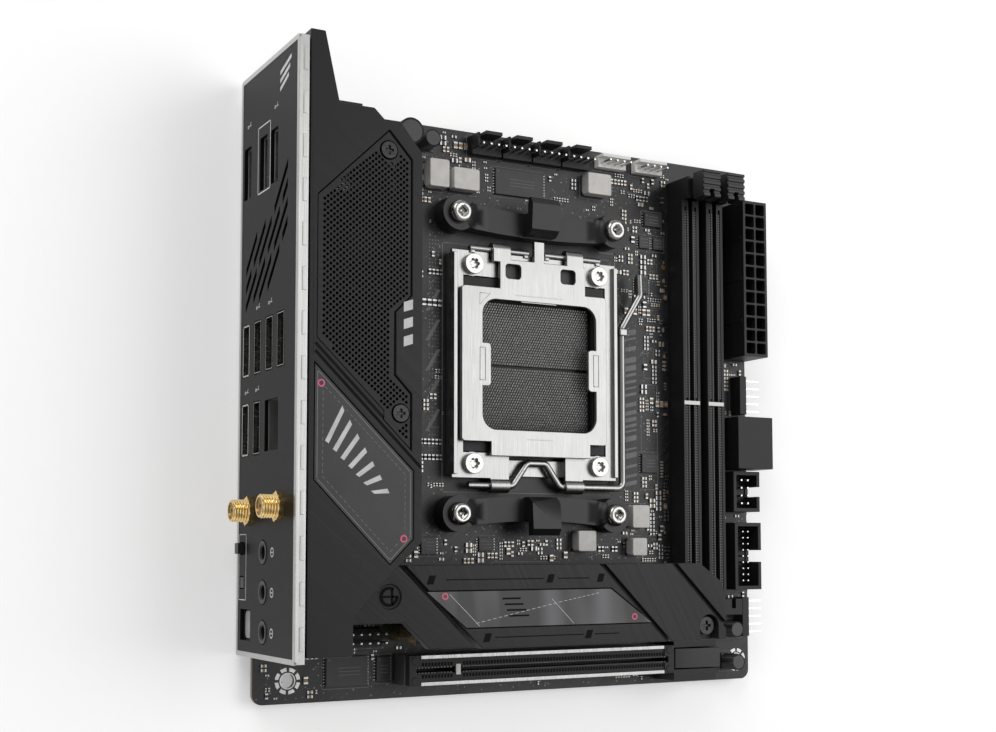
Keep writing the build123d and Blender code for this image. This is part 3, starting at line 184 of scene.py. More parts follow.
# ---- materials ---------------------------------------------------------------
class Finish:
    """A principled material with helpers for building its nodes."""

    def __init__(self, name, metallic=0.0, specular=0.5, coat=0.0):
        self.material = bpy.data.materials.new(name)
        self.material.use_nodes = True
        self.tree = self.material.node_tree
        self.tree.nodes.clear()
        output = self.add("ShaderNodeOutputMaterial")
        self.shader = self.add("ShaderNodeBsdfPrincipled")
        self.tree.links.new(self.shader.outputs["BSDF"], output.inputs["Surface"])
        self.shader.inputs["Metallic"].default_value = metallic
        self.shader.inputs["Specular IOR Level"].default_value = specular
        self.shader.inputs["Coat Weight"].default_value = coat
        self.shader.inputs["Coat Roughness"].default_value = 0.05
        place = self.add("ShaderNodeTexCoord")
        scale = self.add("ShaderNodeVectorMath", operation="SCALE")
        scale.inputs["Scale"].default_value = 1 / MM
        self.tree.links.new(place.outputs["Object"], scale.inputs[0])
        self.place = scale.outputs["Vector"]

    def add(self, kind, **settings):
        node = self.tree.nodes.new(kind)
        for key, value in settings.items():
            setattr(node, key, value)
        return node

    def stretched(self, angle, length, across):
        """Coordinates drawn out along one direction in the board's plane."""
        turn = self.add("ShaderNodeMapping", vector_type="TEXTURE")
        turn.inputs["Rotation"].default_value = (0, 0, math.radians(angle))
        turn.inputs["Scale"].default_value = (length, across, across)
        self.tree.links.new(self.place, turn.inputs["Vector"])
        return turn.outputs["Vector"]

    def noise(self, scale, detail=3.0, place=None):
        node = self.add("ShaderNodeTexNoise")
        node.inputs["Scale"].default_value = scale
        node.inputs["Detail"].default_value = detail
        self.tree.links.new(place or self.place, node.inputs["Vector"])
        return node.outputs["Fac"]

    def ramp(self, value, low, high, start=0.3, end=0.7):
        """Colour that runs from low to high as the value rises."""
        node = self.add("ShaderNodeValToRGB")
        node.color_ramp.elements[0].position = start
        node.color_ramp.elements[0].color = (*low, 1)
        node.color_ramp.elements[1].position = end
        node.color_ramp.elements[1].color = (*high, 1)
        self.tree.links.new(value, node.inputs["Fac"])
        return node.outputs["Color"]

    def mix(self, factor, a, b):
        node = self.add("ShaderNodeMix", data_type="RGBA")
        self.tree.links.new(factor, node.inputs[0])
        self.tree.links.new(a, node.inputs[6])
        self.tree.links.new(b, node.inputs[7])
        return node.outputs[2]

    def colour(self, socket):
        self.tree.links.new(socket, self.shader.inputs["Base Color"])

    def rough(self, value, low, high):
        node = self.add("ShaderNodeMapRange")
        node.inputs["From Min"].default_value = 0.3
        node.inputs["From Max"].default_value = 0.7
        node.inputs["To Min"].default_value = low
        node.inputs["To Max"].default_value = high
        self.tree.links.new(value, node.inputs["Value"])
        self.tree.links.new(node.outputs["Result"], self.shader.inputs["Roughness"])

    def bump(self, value, height, strength=0.6):
        node = self.add("ShaderNodeBump")
        node.inputs["Strength"].default_value = strength
        node.inputs["Distance"].default_value = height * MM
        self.tree.links.new(value, node.inputs["Height"])
        self.tree.links.new(node.outputs["Normal"], self.shader.inputs["Normal"])


def shade(colour, factor):
    return tuple(min(1.0, c * factor) for c in colour)


def moulded(name, colour, rough=0.5, grain=0.02, specular=0.5, coat=0.0, spread=0.12):
    """Fine-grained plastic, paint or ceramic."""
    f = Finish(name, 0.0, specular, coat)
    f.colour(f.ramp(f.noise(0.35), shade(colour, 1 - spread), shade(colour, 1 + spread)))
    fine = f.noise(7.0, 4.0)
    f.rough(fine, rough - 0.06, rough + 0.08)
    f.bump(fine, grain, 0.5)
    return f.material


def metal(
    name, colour, rough=0.3, angle=0.0, length=14.0, across=0.12, grain=0.006, metallic=1.0, spread=0.1
):
    """Rolled, brushed or plated metal with its lay along one direction."""
    f = Finish(name, metallic)
    streaks = f.noise(1.0, 4.0, f.stretched(angle, length, across))
    cloud = f.noise(0.12, 2.0)
    tone = f.ramp(cloud, shade(colour, 1 - spread), shade(colour, 1 + spread * 0.4))
    f.colour(f.mix(streaks, tone, f.ramp(streaks, shade(colour, 0.82), colour)))
    f.rough(streaks, rough - 0.07, rough + 0.1)
    f.bump(streaks, grain, 0.5)
    return f.material


def board_finish():
    """Solder mask over copper fields on the faces, brown glass fibre on the edge."""
    f = Finish("solder_mask", 0.0, 0.45)
    copper = f.add("ShaderNodeTexVoronoi", distance="MANHATTAN")
    copper.inputs["Scale"].default_value = 0.085
    f.tree.links.new(f.place, copper.inputs["Vector"])
    field = f.ramp(copper.outputs["Color"], (0.0085, 0.009, 0.0105), (0.016, 0.017, 0.019), 0.35, 0.4)
    lines = f.noise(1.0, 2.0, f.stretched(45, 30.0, 0.35))
    tracks = f.ramp(lines, (0.008, 0.0085, 0.0095), (0.021, 0.022, 0.024), 0.5, 0.56)
    blend = f.ramp(f.noise(0.05, 1.0), (0, 0, 0), (1, 1, 1), 0.45, 0.55)
    face = f.mix(blend, field, tracks)
    way = f.add("ShaderNodeNewGeometry")
    split = f.add("ShaderNodeSeparateXYZ")
    f.tree.links.new(way.outputs["Normal"], split.inputs[0])
    level = f.add("ShaderNodeMath", operation="ABSOLUTE")
    f.tree.links.new(split.outputs["Z"], level.inputs[0])
    flat = f.add("ShaderNodeMath", operation="GREATER_THAN")
    flat.inputs[1].default_value = 0.6
    f.tree.links.new(level.outputs[0], flat.inputs[0])
    layers = f.ramp(f.noise(2.6, 3.0, f.stretched(0, 12.0, 1.0)), (0.10, 0.062, 0.032), (0.22, 0.15, 0.085))
    f.colour(f.mix(flat.outputs[0], layers, face))
    f.rough(lines, 0.34, 0.46)
    f.bump(lines, 0.012, 0.5)
    return f.material


def brushed_cover(name, colour, angle, rough=0.42):
    """Dark coated aluminium with long brush marks."""
    f = Finish(name, 0.2, 0.35)
    streaks = f.noise(1.0, 5.0, f.stretched(angle, 60.0, 0.5))
    wide = f.noise(1.0, 2.0, f.stretched(angle, 40.0, 3.0))
    fine = f.ramp(streaks, shade(colour, 0.72), shade(colour, 1.25), 0.35, 0.65)
    broad = f.ramp(wide, shade(colour, 0.85), shade(colour, 1.15))
    half = f.add("ShaderNodeMix", data_type="RGBA", blend_type="MIX")
    half.inputs[0].default_value = 0.4
    f.tree.links.new(fine, half.inputs[6])
    f.tree.links.new(broad, half.inputs[7])
    f.colour(half.outputs[2])
    f.rough(streaks, rough - 0.06, rough + 0.1)
    f.bump(streaks, 0.012, 0.5)
    return f.material


def smoked_badge_painted_reflection():
    """Mirror-gloss smoked plate with broad soft bands of painted reflection across it."""
    f = Finish("smoked_badge_painted_reflection", 0.3, 0.4, 0.2)
    # painted reflection: dark and light bands stretched across the badge's colour stand in for reflected
    # light
    band = f.noise(1.0, 1.0, f.stretched(96, 60.0, 11.0))
    f.colour(f.ramp(band, (0.004, 0.004, 0.005), (0.07, 0.07, 0.075), 0.46, 0.66))
    f.rough(f.noise(5.0), 0.14, 0.2)
    f.bump(f.noise(3.0), 0.002, 0.3)
    return f.material


def cover_plate_gloss():
    """Glossy dark plate set in the port cover."""
    f = Finish("cover_gloss", 0.1, 0.35, 0.12)
    f.colour(f.ramp(f.noise(0.08, 2.0), (0.006, 0.006, 0.007), (0.014, 0.014, 0.016)))
    f.rough(f.noise(5.0), 0.18, 0.26)
    f.bump(f.noise(3.0), 0.002, 0.3)
    return f.material


MASK = board_finish()
PLASTIC = moulded("black_plastic", (0.009, 0.009, 0.0095), 0.48, 0.03, 0.4)
PLASTIC_SATIN = moulded("black_plastic_satin", (0.013, 0.013, 0.014), 0.36, 0.012, 0.4)
COVER = brushed_cover("cover_black", (0.012, 0.012, 0.013), -40)
STRIP = brushed_cover("strip_black", (0.013, 0.013, 0.014), -62)
GRILLE = brushed_cover("grille_black", (0.015, 0.015, 0.016), -40)
SHIELD = moulded("shield_black", (0.004, 0.004, 0.0045), 0.42, 0.008, 0.12)
# painted shade: near-black, darker than the black plastic, for recesses, slot openings, port backs and behind
# the grille; also the black print bars on the drive badge
SHADE_AND_PRINT_BLACK = moulded("painted_recess_shade_and_print_black", (0.003, 0.003, 0.003), 0.8, 0.01, 0.2)
STEEL = metal("bright_steel", (0.4, 0.4, 0.395), 0.3, 90, 10.0, 0.2, 0.004)
RIM_STEEL = metal("rim_steel", (0.5, 0.5, 0.49), 0.3, 90, 22.0, 0.15, 0.006)
CAN = metal("tinned_can", (0.5, 0.5, 0.49), 0.34, 0, 8.0, 0.3)
SCREW = metal("bright_screw", (0.5, 0.49, 0.47), 0.2, 0, 2.0, 0.6, 0.004)
DARK_SCREW = metal("black_screw", (0.05, 0.05, 0.052), 0.35, 0, 2.0, 0.6, 0.01)
GOLD = metal("gold_plate", (0.93, 0.68, 0.3), 0.24, 0, 2.0, 0.5, 0.004)
# painted shade: the jack gold darkened to about a third, for the insert deep inside the antenna jack bores
GOLD_PAINTED_SHADE = metal("jack_bore_painted_shade", (0.36, 0.24, 0.1), 0.4, 0, 2.0, 0.5, 0.004)
SOLDER = metal("solder", (0.5, 0.5, 0.49), 0.34, 20, 1.0, 0.6, 0.02)
TIN = metal("tinned_pin", (0.74, 0.74, 0.72), 0.25, 0, 2.0, 0.5, 0.004)
# painted shade: tin darkened to about a quarter, for the contacts deep inside the memory and card slots
TIN_PAINTED_SHADE = metal("contact_painted_shade", (0.2, 0.2, 0.2), 0.4, 0, 2.0, 0.5, 0.004)
VIA = metal("masked_via", (0.17, 0.17, 0.17), 0.4, 0, 2.0, 0.5, 0.004)
FIN = metal("anodised_fin", (0.05, 0.05, 0.052), 0.42, 0, 10.0, 0.3, 0.01)
CHOKE = moulded("choke_block", (0.62, 0.6, 0.57), 0.48, 0.05, 0.5, 0.0, 0.08)
CHIP = moulded("chip_package", (0.022, 0.022, 0.024), 0.42, 0.02)
DIE = moulded("chip_mark", (0.11, 0.11, 0.115), 0.5, 0.01)
CERAMIC = moulded("ceramic_part", (0.28, 0.19, 0.11), 0.5, 0.02)
RESISTOR = moulded("resistor_part", (0.012, 0.012, 0.013), 0.4, 0.01)
WHITE = moulded("white_plastic", (0.78, 0.77, 0.74), 0.42, 0.02, 0.5, 0.0, 0.05)
GREY = moulded("grey_plastic", (0.36, 0.36, 0.36), 0.5, 0.02)
PRINT = moulded("board_print", (0.17, 0.17, 0.175), 0.6, 0.004)
PRINT_BRIGHT = moulded("bright_print", (0.6, 0.6, 0.6), 0.55, 0.004)
TRACK = moulded("raised_track", (0.015, 0.016, 0.018), 0.36, 0.004)
RING = moulded("ring_print", (0.72, 0.09, 0.2), 0.4, 0.004)
COPPER = metal("copper_pad", (0.8, 0.42, 0.12), 0.35, 0, 2.0, 0.5, 0.004)
PAD = moulded("thermal_pad", (0.42, 0.43, 0.46), 0.7, 0.06, 0.3)
FILM = moulded("insulating_film", (0.03, 0.03, 0.032), 0.45, 0.02)
SLEEVE = moulded("can_sleeve", (0.022, 0.022, 0.025), 0.3, 0.01)
BRASS = metal("post_brass", (0.72, 0.6, 0.36), 0.3, 0, 2.0, 0.5, 0.004)
# the drive badge's finish carries painted reflection bands
PAINTED_REFLECTION_BADGE = smoked_badge_painted_reflection()
BADGE_DARK = cover_plate_gloss()


# ---- mesh building -------------------------------------------------------------
def place_object(name, mesh, materials, body, stands_for=()):
    """Links a finished mesh, in metres, as a piece riding on a body."""
    piece = bpy.data.objects.new(name, mesh)
    bpy.context.scene.collection.objects.link(piece)
    mesh.materials.clear()
    for material in materials:
        mesh.materials.append(material)
    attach(piece, body)
    if stands_for:
        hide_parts(*stands_for)
    return piece


def soften_edges(piece, width, angle=32, segments=2):
    """Rounds a piece's sharp edges and evens out its shading."""
    for face in piece.data.polygons:
        face.use_smooth = True
    bevel = piece.modifiers.new("edges", "BEVEL")
    bevel.width = width * MM
    bevel.segments = segments
    bevel.limit_method = "ANGLE"
    bevel.angle_limit = math.radians(angle)
    bevel.use_clamp_overlap = False
    piece.modifiers.new("shading", "WEIGHTED_NORMAL")


class Solid:
    """Closed shapes gathered in board millimetres, which become one piece."""

    def __init__(self):
        self.points = []
        self.faces = []
        self.paint = []

    def add(self, points, faces, paint=0):
        first = len(self.points)
        self.points += [tuple(p) for p in points]
        self.faces += [tuple(first + i for i in face) for face in faces]
        self.paint += [paint] * len(faces)

    def prism(self, outline, z0, z1, paint=0, along="z"):
        """Straight-sided block over a counter-clockwise outline in (x, y), or in (y, z) along x."""
        n = len(outline)
        ends = [[(u, v, w) for u, v in outline] for w in (z0, z1)]
        points = ends[0] + ends[1]
        if along == "x":
            points = [(w, u, v) for u, v, w in points]
        if along == "y":
            points = [(v, w, u) for u, v, w in points]
        faces = [tuple(reversed(range(n))), tuple(range(n, 2 * n))]
        faces += [(i, (i + 1) % n, n + (i + 1) % n, n + i) for i in range(n)]
        self.add(points, faces, paint)

    def box(self, x0, x1, y0, y1, z0, z1, paint=0):
        self.prism([(x0, y0), (x1, y0), (x1, y1), (x0, y1)], z0, z1, paint)

    def disc(self, x, y, radius, z0, z1, paint=0, steps=12):
        turn = [2 * math.pi * i / steps for i in range(steps)]
        outline = [(x + radius * math.cos(a), y + radius * math.sin(a)) for a in turn]
        self.prism(outline, z0, z1, paint)

    def ring(self, x, y, outer, inner, z0, z1, paint=0, start=0.0, sweep=360.0, steps=28, along="z"):
        """Flat ring or arc of a ring."""
        closed = sweep >= 360.0
        count = steps if closed else steps + 1
        points = []
        for i in range(count):
            a = math.radians(start + sweep * i / steps)
            for radius, z in ((inner, z0), (outer, z0), (outer, z1), (inner, z1)):
                points.append((x + radius * math.cos(a), y + radius * math.sin(a), z))
        if along == "x":
            points = [(w, u, v) for u, v, w in points]
        faces = []
        for i in range(steps):
            a, b = 4 * i, 4 * ((i + 1) % count)
            for j in range(4):
                k = (j + 1) % 4
                faces.append((a + j, a + k, b + k, b + j))
        if not closed:
            last = 4 * (count - 1)
            faces += [(3, 2, 1, 0), (last, last + 1, last + 2, last + 3)]
        self.add(points, faces, paint)

    def line(self, path, width, z0, z1, paint=0, along="z"):
        """Flat strip that follows a path of straight runs."""
        for (ax, ay), (bx, by) in zip(path, path[1:]):
            run = Vector((bx - ax, by - ay))
            if run.length < 1e-6:
                continue
            step = run.normalized() * width / 2
            side = Vector((-step.y, step.x))
            corners = [
                (ax - step.x - side.x, ay - step.y - side.y),
                (bx + step.x - side.x, by + step.y - side.y),
                (bx + step.x + side.x, by + step.y + side.y),
                (ax - step.x + side.x, ay - step.y + side.y),
            ]
            self.prism(corners, z0, z1, paint, along)

    def frame_line(self, x0, x1, y0, y1, width, z0, z1, paint=0, along="z"):
        self.line([(x0, y0), (x1, y0), (x1, y1), (x0, y1), (x0, y0)], width, z0, z1, paint, along)

    def spun(self, centre, profile, axis="x", paint=0, steps=32, closed=True):
        """Surface of revolution; the profile is (distance along the axis, radius)."""
        points = []
        for along, radius in profile:
            for i in range(steps):
                a = 2 * math.pi * i / steps
                u, v = radius * math.cos(a), radius * math.sin(a)
                offset = (along, u, v) if axis == "x" else (u, v, along)
                points.append(tuple(c + o for c, o in zip(centre, offset)))
        faces = []
        rows = len(profile)
        for j in range(rows if closed else rows - 1):
            a, b = j * steps, ((j + 1) % rows) * steps
            for i in range(steps):
                k = (i + 1) % steps
                faces.append((a + i, a + k, b + k, b + i))
        self.add(points, faces, paint)

    def build(self, name, materials, body="board", stands_for=(), soften=0.0, smooth=False):
        mesh = bpy.data.meshes.new(name)
        scaled = [ORIGIN + Vector(p) * MM for p in self.points]
        mesh.from_pydata(scaled, [], self.faces)
        mesh.polygons.foreach_set("material_index", self.paint)
        work = bmesh.new()
        work.from_mesh(mesh)
        bmesh.ops.recalc_face_normals(work, faces=work.faces)
        work.to_mesh(mesh)
        work.free()
        piece = place_object(name, mesh, materials, body, stands_for)
        mesh.polygons.foreach_set("material_index", self.paint)
        if soften:
            soften_edges(piece, soften)
        elif smooth:
            mesh.polygons.foreach_set("use_smooth", [True] * len(mesh.polygons))
            mesh.set_sharp_from_angle(angle=math.radians(40))
        return piece


def sheet(name, loops, z0, z1, materials, body="board", stands_for=(), rounding=0.08, along="z"):
    """Plate of even thickness from an outline and its holes, with rounded edges."""
    curve = bpy.data.curves.new(name, "CURVE")
    curve.dimensions = "2D"
    curve.fill_mode = "BOTH"
    curve.extrude = (z1 - z0) / 2 - rounding
    curve.bevel_depth = rounding
    curve.bevel_resolution = 1
    curve.offset = -rounding
    for loop in loops:
        spline = curve.splines.new("POLY")
        spline.points.add(len(loop) - 1)
        for point, (u, v) in zip(spline.points, loop):
            point.co = (u, v, 0, 1)
        spline.use_cyclic_u = True
    holder = bpy.data.objects.new(name + "_outline", curve)
    bpy.context.scene.collection.objects.link(holder)
    graph = bpy.context.evaluated_depsgraph_get()
    mesh = bpy.data.meshes.new_from_object(holder.evaluated_get(graph))
    bpy.data.objects.remove(holder)
    for vertex in mesh.vertices:
        u, v, w = vertex.co
        w += (z0 + z1) / 2
        vertex.co = ORIGIN + Vector((w, u, v) if along == "x" else (u, v, w)) * MM
    mesh.polygons.foreach_set("use_smooth", [True] * len(mesh.polygons))
    mesh.set_sharp_from_angle(angle=math.radians(50))
    mesh.name = name
    return place_object(name, mesh, materials, body, stands_for)


def circle(x, y, radius, steps=14, start=0.0):
    turn = [start + 2 * math.pi * i / steps for i in range(steps)]
    return [(x + radius * math.cos(a), y + radius * math.sin(a)) for a in turn]


def finished(node, material, soften=0.12):
    """Softened copy of a CAD node in its own finish, standing for that node."""
    mesh = frame["nodes"][node].data.copy()
    work = bmesh.new()
    work.from_mesh(mesh)
    bmesh.ops.remove_doubles(work, verts=work.verts, dist=2e-6)
    if soften:
        bmesh.ops.dissolve_limit(work, angle_limit=math.radians(1.0), verts=work.verts, edges=work.edges)
    work.to_mesh(mesh)
    work.free()
    mesh.name = node + "_finished"
    piece = place_object(mesh.name, mesh, [material], BODY_OF[node], [node])
    mesh.polygons.foreach_set("material_index", [0] * len(mesh.polygons))
    if soften:
        soften_edges(piece, soften)
    else:
        mesh.polygons.foreach_set("use_smooth", [True] * len(mesh.polygons))
        mesh.set_sharp_from_angle(angle=math.radians(30))
    return piece


# ---- CAD nodes in their finishes -------------------------------------------------
FINISHES = {
    "circuit_board": (MASK, 0.1),
    "shield_rim": (RIM_STEEL, 0.06),
    "shield_plate": (SHIELD, 0.08),
    "port_cover": (COVER, 0.25),
    "drive_cover": (STRIP, 0.22),
    "cover_screws": (DARK_SCREW, 0.12),
    "cover_badge": (BADGE_DARK, 0.06),
    "drive_badge": (PAINTED_REFLECTION_BADGE, 0.06),
    "power_heatsink": (FIN, 0.15),
    "chipset_heatsink": (FIN, 0.15),
    "thermal_pads": (PAD, 0.1),
    "fan_frame": (PLASTIC, 0.15),
    "fan_rotor": (PLASTIC_SATIN, 0.08),
    "video_usb_shell": (CAN, 0.08),
    "usb_stack_shell": (CAN, 0.08),
    "network_usb_shell": (CAN, 0.08),
    "port_tongues": (PLASTIC, 0.08),
    "wireless_module": (CAN, 0.12),
    "audio_jacks": (PLASTIC_SATIN, 0.1),
    "light_port": (PLASTIC, 0.12),
    "light_shutter": (GREY, 0.1),
    "button_housing": (PLASTIC, 0.12),
    "rear_button_1": (PLASTIC_SATIN, 0.15),
    "rear_button_2": (PLASTIC_SATIN, 0.15),
    "socket_base": (PLASTIC, 0.15),
    "socket_contacts": (moulded("socket_floor", (0.02, 0.02, 0.021), 0.6, 0.05), 0.05),
    "socket_frame": (STEEL, 0.12),
    "load_plate": (STEEL, 0.2),
    "clamp_screws": (SCREW, 0.18),
    "socket_lever": (STEEL, 0.05),
    "backplate": (metal("coated_steel", (0.05, 0.05, 0.052), 0.45, 0, 4.0, 0.6, 0.02), 0.2),
    "backplate_film": (FILM, 0.06),
    "cooler_bracket_far": (PLASTIC_SATIN, 0.0),
    "cooler_bracket_near": (PLASTIC_SATIN, 0.0),
    "cooler_screws": (SCREW, 0.0),
    "memory_slot_1": (PLASTIC, 0.1),
    "memory_slot_2": (PLASTIC, 0.1),
    "memory_latch_1": (PLASTIC_SATIN, 0.15),
    "memory_latch_2": (PLASTIC_SATIN, 0.15),
    "expansion_slot": (PLASTIC, 0.1),
    "slot_shield": (STEEL, 0.05),
    "card_latch_base": (PLASTIC, 0.15),
    "card_latch": (PLASTIC_SATIN, 0.15),
    "stack_posts": (BRASS, 0.12),
    "drive_carrier": (MASK, 0.06),
    "drive_socket": (PLASTIC, 0.1),
    "main_power_socket": (PLASTIC, 0.12),
    "processor_power_socket": (PLASTIC, 0.12),
    "fan_headers": (PLASTIC, 0.1),
    "lighting_headers": (WHITE, 0.1),
    "drive_ports": (PLASTIC, 0.12),
    "header_bases": (PLASTIC, 0.1),
    "header_pins": (TIN, 0.06),
    "power_chokes": (CHOKE, 0.25),
    "capacitors": (SLEEVE, 0.0),
    "chips": (CHIP, 0.08),
    "clock_battery": (STEEL, 0.2),
}
for node, (material, width) in FINISHES.items():
    finished(node, material, width)


# ---- perforated grille -------------------------------------------------------------
HOLE_STEP_X = 1.77
HOLE_STEP_Y = 1.52
HOLE_R = 0.4
grille_low, grille_high = mm_box("vent_grille")
grille_edge = straightened(top_loops("vent_grille")[0])
screw_places = [((a.x + b.x) / 2, (a.y + b.y) / 2) for a, b in islands("cover_screws")]
grille_screws = [p for p in screw_places if inside(p, grille_edge)]
loops = [grille_edge] + [circle(x, y, 2.6, 24) for x, y in grille_screws]
row = 0
y = grille_low.y
while y < grille_high.y:
    x = grille_low.x + (HOLE_STEP_X / 2 if row % 2 else 0)
    while x < grille_high.x:
        clear = all(math.dist((x, y), p) > 3.3 for p in grille_screws)
        if clear and inside((x, y), grille_edge) and edge_gap((x, y), grille_edge) > 1.1:
            loops.append(circle(x, y, HOLE_R, 10))
        x += HOLE_STEP_X
    y += HOLE_STEP_Y / 2
    row += 1
sheet(
    "perforated_grille", loops, grille_high.z - 0.8, grille_high.z, [GRILLE],
    "board", ["vent_grille"], 0.06,
)
# painted shade: a dark sheet behind the part of the grille that has no port stack beneath, for the shade seen
# through its holes
SHADE_SHEET_END = 106.0
shade_sheet = []
shade_sheet_outline = shrunk(grille_edge, 1.0)
for a, b in zip(shade_sheet_outline, shade_sheet_outline[1:] + shade_sheet_outline[:1]):
    if a[1] < SHADE_SHEET_END:
        shade_sheet.append(tuple(a))
    if (a[1] < SHADE_SHEET_END) != (b[1] < SHADE_SHEET_END):
        t = (SHADE_SHEET_END - a[1]) / (b[1] - a[1])
        shade_sheet.append((a[0] + (b[0] - a[0]) * t, SHADE_SHEET_END))
sheet(
    "grille_painted_shade_sheet", [shade_sheet], grille_low.z + 0.1, grille_high.z - 0.85, [SHADE_AND_PRINT_BLACK],
    rounding=0.04,
)
# painted shade: the seats at the foot of the screw recesses in the grille take the near-black recess colour
screw_seats = Solid()
for x, y in grille_screws:
    screw_seats.disc(x, y, 2.8, grille_low.z, grille_high.z - 0.65, 0, 24)
screw_seats.build("grille_screw_seats", [SHADE_AND_PRINT_BLACK], soften=0.05)


# ---- antenna jacks ----------------------------------------------------------------
THREAD_PITCH = 0.72
THREAD_DEPTH = 0.38


def thread(solid, centre, length, radius, steps=40, per_turn=6):
    """Screw thread surface along x, open at both ends."""
    rows = int(length / THREAD_PITCH * per_turn)
    points = []
    for j in range(rows + 1):
        along = length * j / rows
        for i in range(steps):
            turn = i / steps
            phase = (along / THREAD_PITCH - turn) % 1.0
            r = radius - THREAD_DEPTH * abs(2 * phase - 1)
            if along < 0.35:
                r = min(r, radius - 0.35 + along)
            a = 2 * math.pi * turn
            points.append((centre[0] + along, centre[1] + r * math.cos(a), centre[2] + r * math.sin(a)))
    faces = []
    for j in range(rows):
        for i in range(steps):
            k = (i + 1) % steps
            faces.append((j * steps + i, j * steps + k, (j + 1) * steps + k, (j + 1) * steps + i))
    solid.add(points, faces)


jacks = Solid()
plate_low, plate_high = mm_box("shield_plate")
for low, high in islands("antenna_jacks"):
    cy, cz = (low.y + high.y) / 2, (low.z + high.z) / 2
    mouth = low.x
    thread(jacks, (mouth, cy, cz), 4.3, 3.15)
    jacks.spun((mouth, cy, cz), [(0, 2.8), (0, 2.35), (3.6, 2.35), (3.6, 0.5), (4.2, 0.5), (4.2, 2.8)])
    # the insert inside the bore takes the darkened gold, painted shade
    jacks.spun((mouth, cy, cz), [(0.3, 2.3), (0.3, 0.62), (3.6, 0.62), (3.6, 2.3)], paint=1)
    jacks.spun((mouth, cy, cz), [(0.5, 0.6), (0.5, 0.38), (3.6, 0.38), (3.6, 0.6)])
    hexagon = circle(cy, cz, 4.1, 6, math.radians(12))
    jacks.prism(hexagon, plate_low.x - 1.35, plate_low.x - 0.02, 0, "x")
    jacks.spun((plate_low.x - 1.5, cy, cz), [(0, 3.05), (0, 3.3), (0.3, 3.6), (0.3, 3.05)])
    jacks.spun((plate_low.x, cy, cz), [(-0.1, 2.7), (-0.1, 3.1), (4.0, 3.1), (4.0, 2.7)])
    jacks.box(plate_high.x + 0.1, high.x, cy - 4.0, cy + 4.0, cz - 3.2, cz + 3.2)
jacks.build("antenna_jack_bodies", [GOLD, GOLD_PAINTED_SHADE], stands_for=["antenna_jacks"], smooth=True)


# ---- processor socket ---------------------------------------------------------------
CONTACT_PITCH_X = 0.86
CONTACT_PITCH_Y = 0.82
SPRING_HALF_WIDTH = 0.2
# two ends, top and bottom, and the long sides of one leaning spring
SPRING_FACES = [(0, 1, 2, 3), (7, 6, 5, 4), (0, 3, 7, 4), (1, 5, 6, 2), (3, 2, 6, 7), (0, 4, 5, 1)]
contacts = Solid()
for low, high in islands("socket_contacts"):
    rows = int((high.y - low.y - 0.6) / CONTACT_PITCH_Y)
    columns = int((high.x - low.x - 0.8) / CONTACT_PITCH_X)
    for r in range(rows + 1):
        y = low.y + 0.4 + r * CONTACT_PITCH_Y
        for c in range(columns + 1):
            x = low.x + 0.4 + c * CONTACT_PITCH_X + (CONTACT_PITCH_X / 2 if r % 2 else 0)
            if x > high.x - 0.4:
                continue
            z = high.z
            half = SPRING_HALF_WIDTH
            points = [
                (x - half, y - 0.22, z), (x + half, y - 0.22, z),
                (x + half, y + 0.24, z + 0.42), (x - half, y + 0.24, z + 0.42),
                (x - half, y - 0.1, z), (x + half, y - 0.1, z),
                (x + half, y + 0.3, z + 0.36), (x - half, y + 0.3, z + 0.36),
            ]
            contacts.add(points, SPRING_FACES)
SPRING = metal("contact_spring", (0.95, 0.94, 0.92), 0.5, 0, 2.0, 0.5, 0.004)
contacts.build("socket_contact_springs", [SPRING])

trim = Solid()
plate_top = 6.8
# pressed pads on the two tabs and small generic marks
for side in (-1, 1):
    x = 87.6 + side * 19.8
    trim.frame_line(x - 0.9, x + 0.9, 93.4, 103.2, 0.22, plate_top - 0.05, plate_top + 0.14)
corner_mark = [(66.8, 119.6), (70.2, 119.6), (66.8, 116.2), (66.8, 119.6)]
trim.line(corner_mark, 0.2, plate_top - 0.05, plate_top + 0.06)
trim.line([(79.0, 119.8), (95.0, 119.8)], 0.28, plate_top - 0.05, plate_top + 0.06)
trim.line([(81.0, 117.9), (93.0, 117.9)], 0.28, plate_top - 0.05, plate_top + 0.06)
trim.line([(83.0, 76.0), (91.6, 76.0)], 0.28, plate_top - 0.05, plate_top + 0.06)
trim.build("load_plate_pressings", [STEEL], "load_plate", soften=0.06)

# dark insulating film on the frame's hinge rail
rail_film = Solid()
frame_top = mm_box("clamp_screws")[1].z - 1.8
for x0, x1, y0, y1 in ((74.4, 82.6, 123.8, 130.2), (93.4, 101.6, 123.8, 130.2)):
    rail_film.box(x0, x1, y0, y1, frame_top + 0.01, frame_top + 0.07)
rail_film.build("hinge_rail_film", [FILM])

collar = Solid()
collar.box(117.4, 120.4, 110.4, 112.9, 1.9, 5.0)
collar.build("lever_collar", [STEEL], "socket_lever", soften=0.5)


# ---- slots ---------------------------------------------------------------------------
# the slot contacts take the darkened tin, painted shade inside the slots
slot_contacts = Solid()
for node in ("memory_slot_1", "memory_slot_2"):
    low, high = mm_box(node)
    centre = (low.x + high.x) / 2
    y = low.y + 7.0
    while y < 153.0:
        if abs(y - 90.0) > 1.4:
            for side in (-1, 1):
                x = centre + side * 1.85
                slot_contacts.box(x - 0.2, x + 0.2, y - 0.13, y + 0.13, 7.7, 8.42)
                tip = centre + side * 1.0
                slot_contacts.box(tip - 0.1, tip + 0.1, y - 0.12, y + 0.12, 8.4, 8.62)
        y += 0.85
    slot_contacts.box(centre - 3.0, centre + 3.0, 89.3, 90.5, 8.5, 8.68, 1)
slot_contacts.build("memory_slot_contacts", [TIN_PAINTED_SHADE, WHITE])

